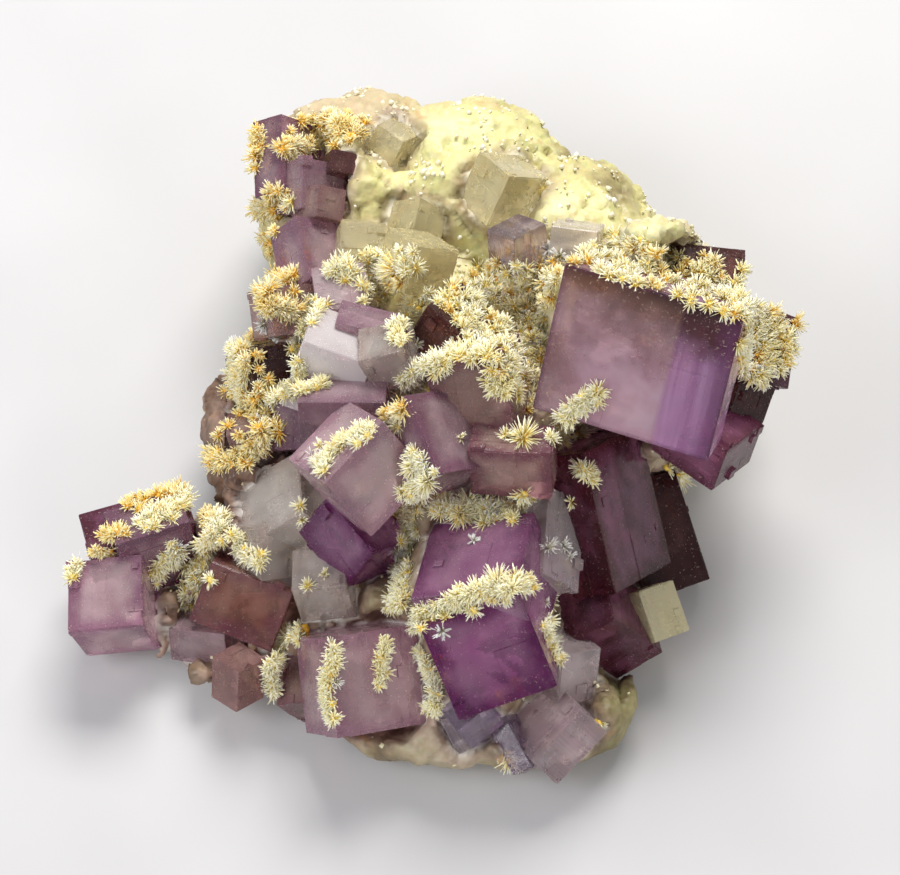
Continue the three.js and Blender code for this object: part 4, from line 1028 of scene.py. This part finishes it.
class Needles:
    """Many thin three-sided blades with blunt ends, and the knots they grow out of."""

    def __init__(self):
        self.p, self.d, self.l, self.r, self.t, self.w = [], [], [], [], [], []
        self.cores = []

    def spray(self, rnd, p, n, reach, count, spread=1.0, thick=0.08, blunt=0.6, core=0.36):
        n = n / np.linalg.norm(n)
        tone = rnd.random()
        if core:
            self.cores.append((p - n * reach * 0.04, reach * core * rnd.uniform(0.8, 1.15), tone, rnd.random()))
        for _ in range(count):
            while True:
                v = np.array([rnd.gauss(0, 1) for _ in range(3)])
                v /= np.linalg.norm(v)
                if v @ n < 0:
                    v = v - 2 * (v @ n) * n
                if v @ n > 0.04:
                    break
            v = v * spread + n * (1 - spread) + n * 0.10
            v /= np.linalg.norm(v)
            start = p + v * reach * rnd.uniform(0.0, 0.22) - n * 0.12
            self.p.append(start)
            self.d.append(v)
            self.l.append(reach * (rnd.uniform(0.78, 1.0) if rnd.random() < 0.6 else rnd.uniform(0.4, 0.8)))
            self.r.append(thick * rnd.uniform(0.65, 1.3))
            self.w.append(blunt * rnd.uniform(0.75, 1.2))
            self.t.append(np.clip(tone * 0.5 + rnd.random() * 0.5, 0, 1))

    def mesh(self, name):
        p, d = np.array(self.p), np.array(self.d)
        l, r, t = np.array(self.l)[:, None], np.array(self.r)[:, None], np.array(self.t)
        w = np.array(self.w)[:, None]
        ref = np.where(np.abs(d[:, 2:3]) < 0.9, np.array([[0, 0, 1.0]]), np.array([[1.0, 0, 0]]))
        a = np.cross(d, ref)
        a /= np.linalg.norm(a, axis=1)[:, None]
        b = np.cross(d, a)
        turn = np.array([(i * 2.399963) % (2 * math.pi) for i in range(len(p))])[:, None]
        a, b = a * np.cos(turn) + b * np.sin(turn), b * np.cos(turn) - a * np.sin(turn)
        rows = []
        n = len(p)
        for h, wide in ((0.0, 1.0), (1.0, None)):
            for k in range(3):
                ang = 2 * math.pi * k / 3
                ww = w if wide is None else wide
                # flat blades: wider one way than the other; the end is cut askew
                hh = h - (0.06 * k if h else 0.0)
                rows.append(p + d * l * hh + (a * math.cos(ang) * 1.35 + b * math.sin(ang) * 0.75) * r * ww)
        V = np.stack(rows, 1).reshape(-1, 3)
        f = []
        for k in range(3):
            k2 = (k + 1) % 3
            f += [[k, k2, k2 + 3], [k, k2 + 3, k + 3]]
        f += [[0, 2, 1], [3, 4, 5]]
        F = (np.array(f)[None] + 6 * np.arange(n)[:, None, None]).reshape(-1, 3)
        along = np.tile(np.array([0, 0, 0, 1.0, 1.0, 1.0]), n)
        tone = np.repeat(t, 6)
        cv, cf, ct = [], [], []
        base = len(V)
        for c, rad, tn, jit in self.cores:
            wob = np.array([1 + 0.28 * noise.noise(Vector(v) * 1.7 + Vector((jit * 50, 0, 0))) for v in ICO_V])[:, None]
            cf.append(ICO_F + base)
            base += len(ICO_V)
            cv.append(c + ICO_V * rad * wob)
            ct.append(np.full(len(ICO_V), tn * 0.5))
        if cv:
            V = np.concatenate([V] + cv)
            F = np.concatenate([F] + cf)
            along = np.concatenate([along, np.full(base - 6 * n, 0.06)])
            tone = np.concatenate([tone] + ct)
        V[:, 2] = np.maximum(V[:, 2], 0.05)
        me = tri_mesh(name, V, F)
        point_value(me, "along", along)
        point_value(me, "tone", tone)
        return me


def along_band(points, half, per100, rnd):
    pts = [np.array(p, float) for p in points]
    seg = [(a, b, np.linalg.norm(b - a)) for a, b in zip(pts, pts[1:])]
    for a, b, ln in seg:
        count = max(1, int(round(ln * per100 / 100)))
        for i in range(count):
            t = (i + rnd.random()) / count
            side = np.array([-(b - a)[1], (b - a)[0]]) / max(ln, 1e-6)
            yield a + (b - a) * t + side * rnd.gauss(0, 0.5) * half


def inside(x, y, poly):
    odd = False
    for (x0, y0), (x1, y1) in zip(poly, poly[1:] + poly[:1]):
        if (y0 > y) != (y1 > y) and x < x0 + (y - y0) * (x1 - x0) / (y1 - y0):
            odd = not odd
    return odd


def over_field(poly, gap, rnd):
    """Evenly but irregularly spread places inside a polygon."""
    got = []
    xs, ys = [p[0] for p in poly], [p[1] for p in poly]
    misses = 0
    while misses < 400:
        x, y = rnd.uniform(min(xs), max(xs)), rnd.uniform(min(ys), max(ys))
        if not inside(x, y, poly) or any((x - a) ** 2 + (y - b) ** 2 < gap * gap for a, b in got):
            misses += 1
            continue
        misses = 0
        got.append((x, y))
    return got


LOOKS = ("cream", "gold", "white")
crust = {k: {} for k in LOOKS}
node_boxes = {n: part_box(n) for n in NEEDLE_NODES}
SHARE = 1.0


def region(p):
    """Which part of the specimen a tuft belongs to."""
    if p[0] > 8:
        return "right"
    if p[0] < -22:
        return "left"
    return "middle" if p[1] < 2 else "upper"


def plant(look, rnd, p, n, reach, count, **kw):
    group = crust[look].setdefault(region(p), Needles())
    group.spray(rnd, p, n, reach, max(4, int(count * (1.0))), **kw)


rnd = random.Random(7)
for look, half, per100, reach, points in BANDS:
    for px, py in along_band(points, half, per100 * (1.0), rnd):
        hit = at_pixel(px, py)
        if hit is None:
            continue
        p, n, who = hit
        plant(look, rnd, p, n + FACING * 0.45, reach * rnd.uniform(0.65, 1.1), 42 * rnd.uniform(0.7, 1.3), thick=0.095)

rnd = random.Random(11)
for look, gap, reach, poly in FIELDS:
    for px, py in over_field(poly, gap, rnd):
        hit = at_pixel(px, py)
        if hit is None:
            continue
        p, n, who = hit
        kind = "gold" if rnd.random() < 0.22 else look
        plant(kind, rnd, p, n + FACING * 0.45, reach * rnd.uniform(0.75, 1.15), 58 * rnd.uniform(0.7, 1.3), thick=0.10)

rnd = random.Random(13)
for look, px, py, reach, count, thick in SPRAYS:
    hit = at_pixel(px, py)
    if hit is None:
        print("no ground for spray at", px, py)
        continue
    p, n, who = hit
    few = count < 40
    plant(look, rnd, p, n + FACING * (1.2 if few else 0.7), reach * PIXEL, count, thick=thick * (1.0 if few else 1.15),
          blunt=0.8 if few else 0.5, core=0.12 if few else 0.26)

# on the sides that the picture doesn't show, where crystal and rock meet
rnd = random.Random(19)
mco = coords(rock) / MM
placed = 0
tries = 0
while placed < (190) and tries < 30000:
    tries += 1
    k = rnd.randrange(len(mco))
    p = mco[k]
    if p[2] < 5:
        continue
    q, n, i, dist = CRYSTAL_TREE.find_nearest(Vector(p))
    if q is None or dist > 1.3:
        continue
    n = np.array(p) - TARGET * np.array([1, 1, 0.4])
    n /= np.linalg.norm(n)
    look_from = p + n * 1.5
    toward = Vector(EYE - look_from).normalized()
    hidden = TREE.ray_cast(Vector(look_from), toward)[0] is not None
    if not hidden:
        continue
    away = TREE.ray_cast(Vector(look_from), Vector(n))[0]
    if away is not None:
        continue
    look = "gold" if p[0] < -5 else "cream"
    plant(look, rnd, p, n, rnd.uniform(1.2, 2.3), 34, thick=0.09)
    placed += 1
print("hidden-side tufts", placed, "of", tries)

made = []
for look in LOOKS:
    for where, group in crust[look].items():
        o = new_object(f"{look}_needles_{where}", group.mesh(f"{look}_needles_{where}"))
        finish_piece(o, M[look])
        made.append((o, where))
        print(o.name, len(group.p), "needles", len(o.data.polygons), "triangles")
# the crust solids are hidden; the needle pieces made above take their place
for n in NEEDLE_NODES:
    lo, hi = node_boxes[n]
    c = (np.array(lo) + np.array(hi)) / 2 / MM
    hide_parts(n)

# ------------------------------------------------------------- floor and light
floor_mat = Mat("pale_floor")
spot = floor_mat.noise(40, 1, 0.5)
floor_mat.link(floor_mat.ramp(spot, [(0.3, (0.52, 0.52, 0.53)), (0.7, (0.56, 0.56, 0.57))]), floor_mat.b.inputs["Base Color"])
floor_mat.link(floor_mat.span(spot, 0.3, 0.7, 0.6, 0.7), floor_mat.b.inputs["Roughness"])
fv = np.array([[-900, -900, 0], [900, -900, 0], [900, 900, 0], [-900, 900, 0]], float)
floor = new_object("floor", mesh_from("floor", fv, [[0, 1, 2, 3]]))
floor.data.materials.append(floor_mat.m)

world = bpy.data.worlds.new("studio")
scene.world = world
world.use_nodes = True
world.node_tree.nodes["Background"].inputs["Color"].default_value = (0.97, 0.97, 1.0, 1)
world.node_tree.nodes["Background"].inputs["Strength"].default_value = 0.32


def area(name, place, aim, size, power, colour):
    d = bpy.data.lights.new(name, "AREA")
    d.shape = "RECTANGLE"
    d.size, d.size_y = size[0] * MM, size[1] * MM
    d.energy = power
    d.color = colour
    o = bpy.data.objects.new(name, d)
    scene.collection.objects.link(o)
    o.location = Vector(place) * MM
    o.rotation_euler = (Vector(aim) * MM - o.location).to_track_quat("-Z", "Y").to_euler()


area("key", (60, 330, 420), (0, 0, 15), (300, 220), 3.4, (1.0, 0.97, 0.93))
area("fill", (-350, -120, 300), (0, 0, 15), (260, 260), 1.2, (0.97, 0.98, 1.0))
area("front", (180, -380, 180), (0, 0, 15), (240, 160), 0.7, (1.0, 0.97, 0.93))

cam = bpy.data.cameras.new("camera")
cam.sensor_width = 36
cam.lens = 36 * DISTANCE / (900 * PIXEL)
cam.clip_start = 0.01
cam.clip_end = 20
cam_obj = bpy.data.objects.new("camera", cam)
scene.collection.objects.link(cam_obj)
cam_obj.matrix_world = Matrix.Translation(Vector(EYE * MM)) @ Matrix(
    (RIGHT.tolist(), UPWARD.tolist(), FACING.tolist())).transposed().to_4x4()
scene.camera = cam_obj
scene.view_settings.view_transform = "Standard"

total = 0
for o in list(pieces.values()) + [matrix, grain_obj] + [o for o, w in made]:
    some = sum(len(p.vertices) - 2 for p in o.data.polygons)
    total += some
    if some > 100000:
        print(o.name, some, "triangles")
print("all pieces", total, "triangles")
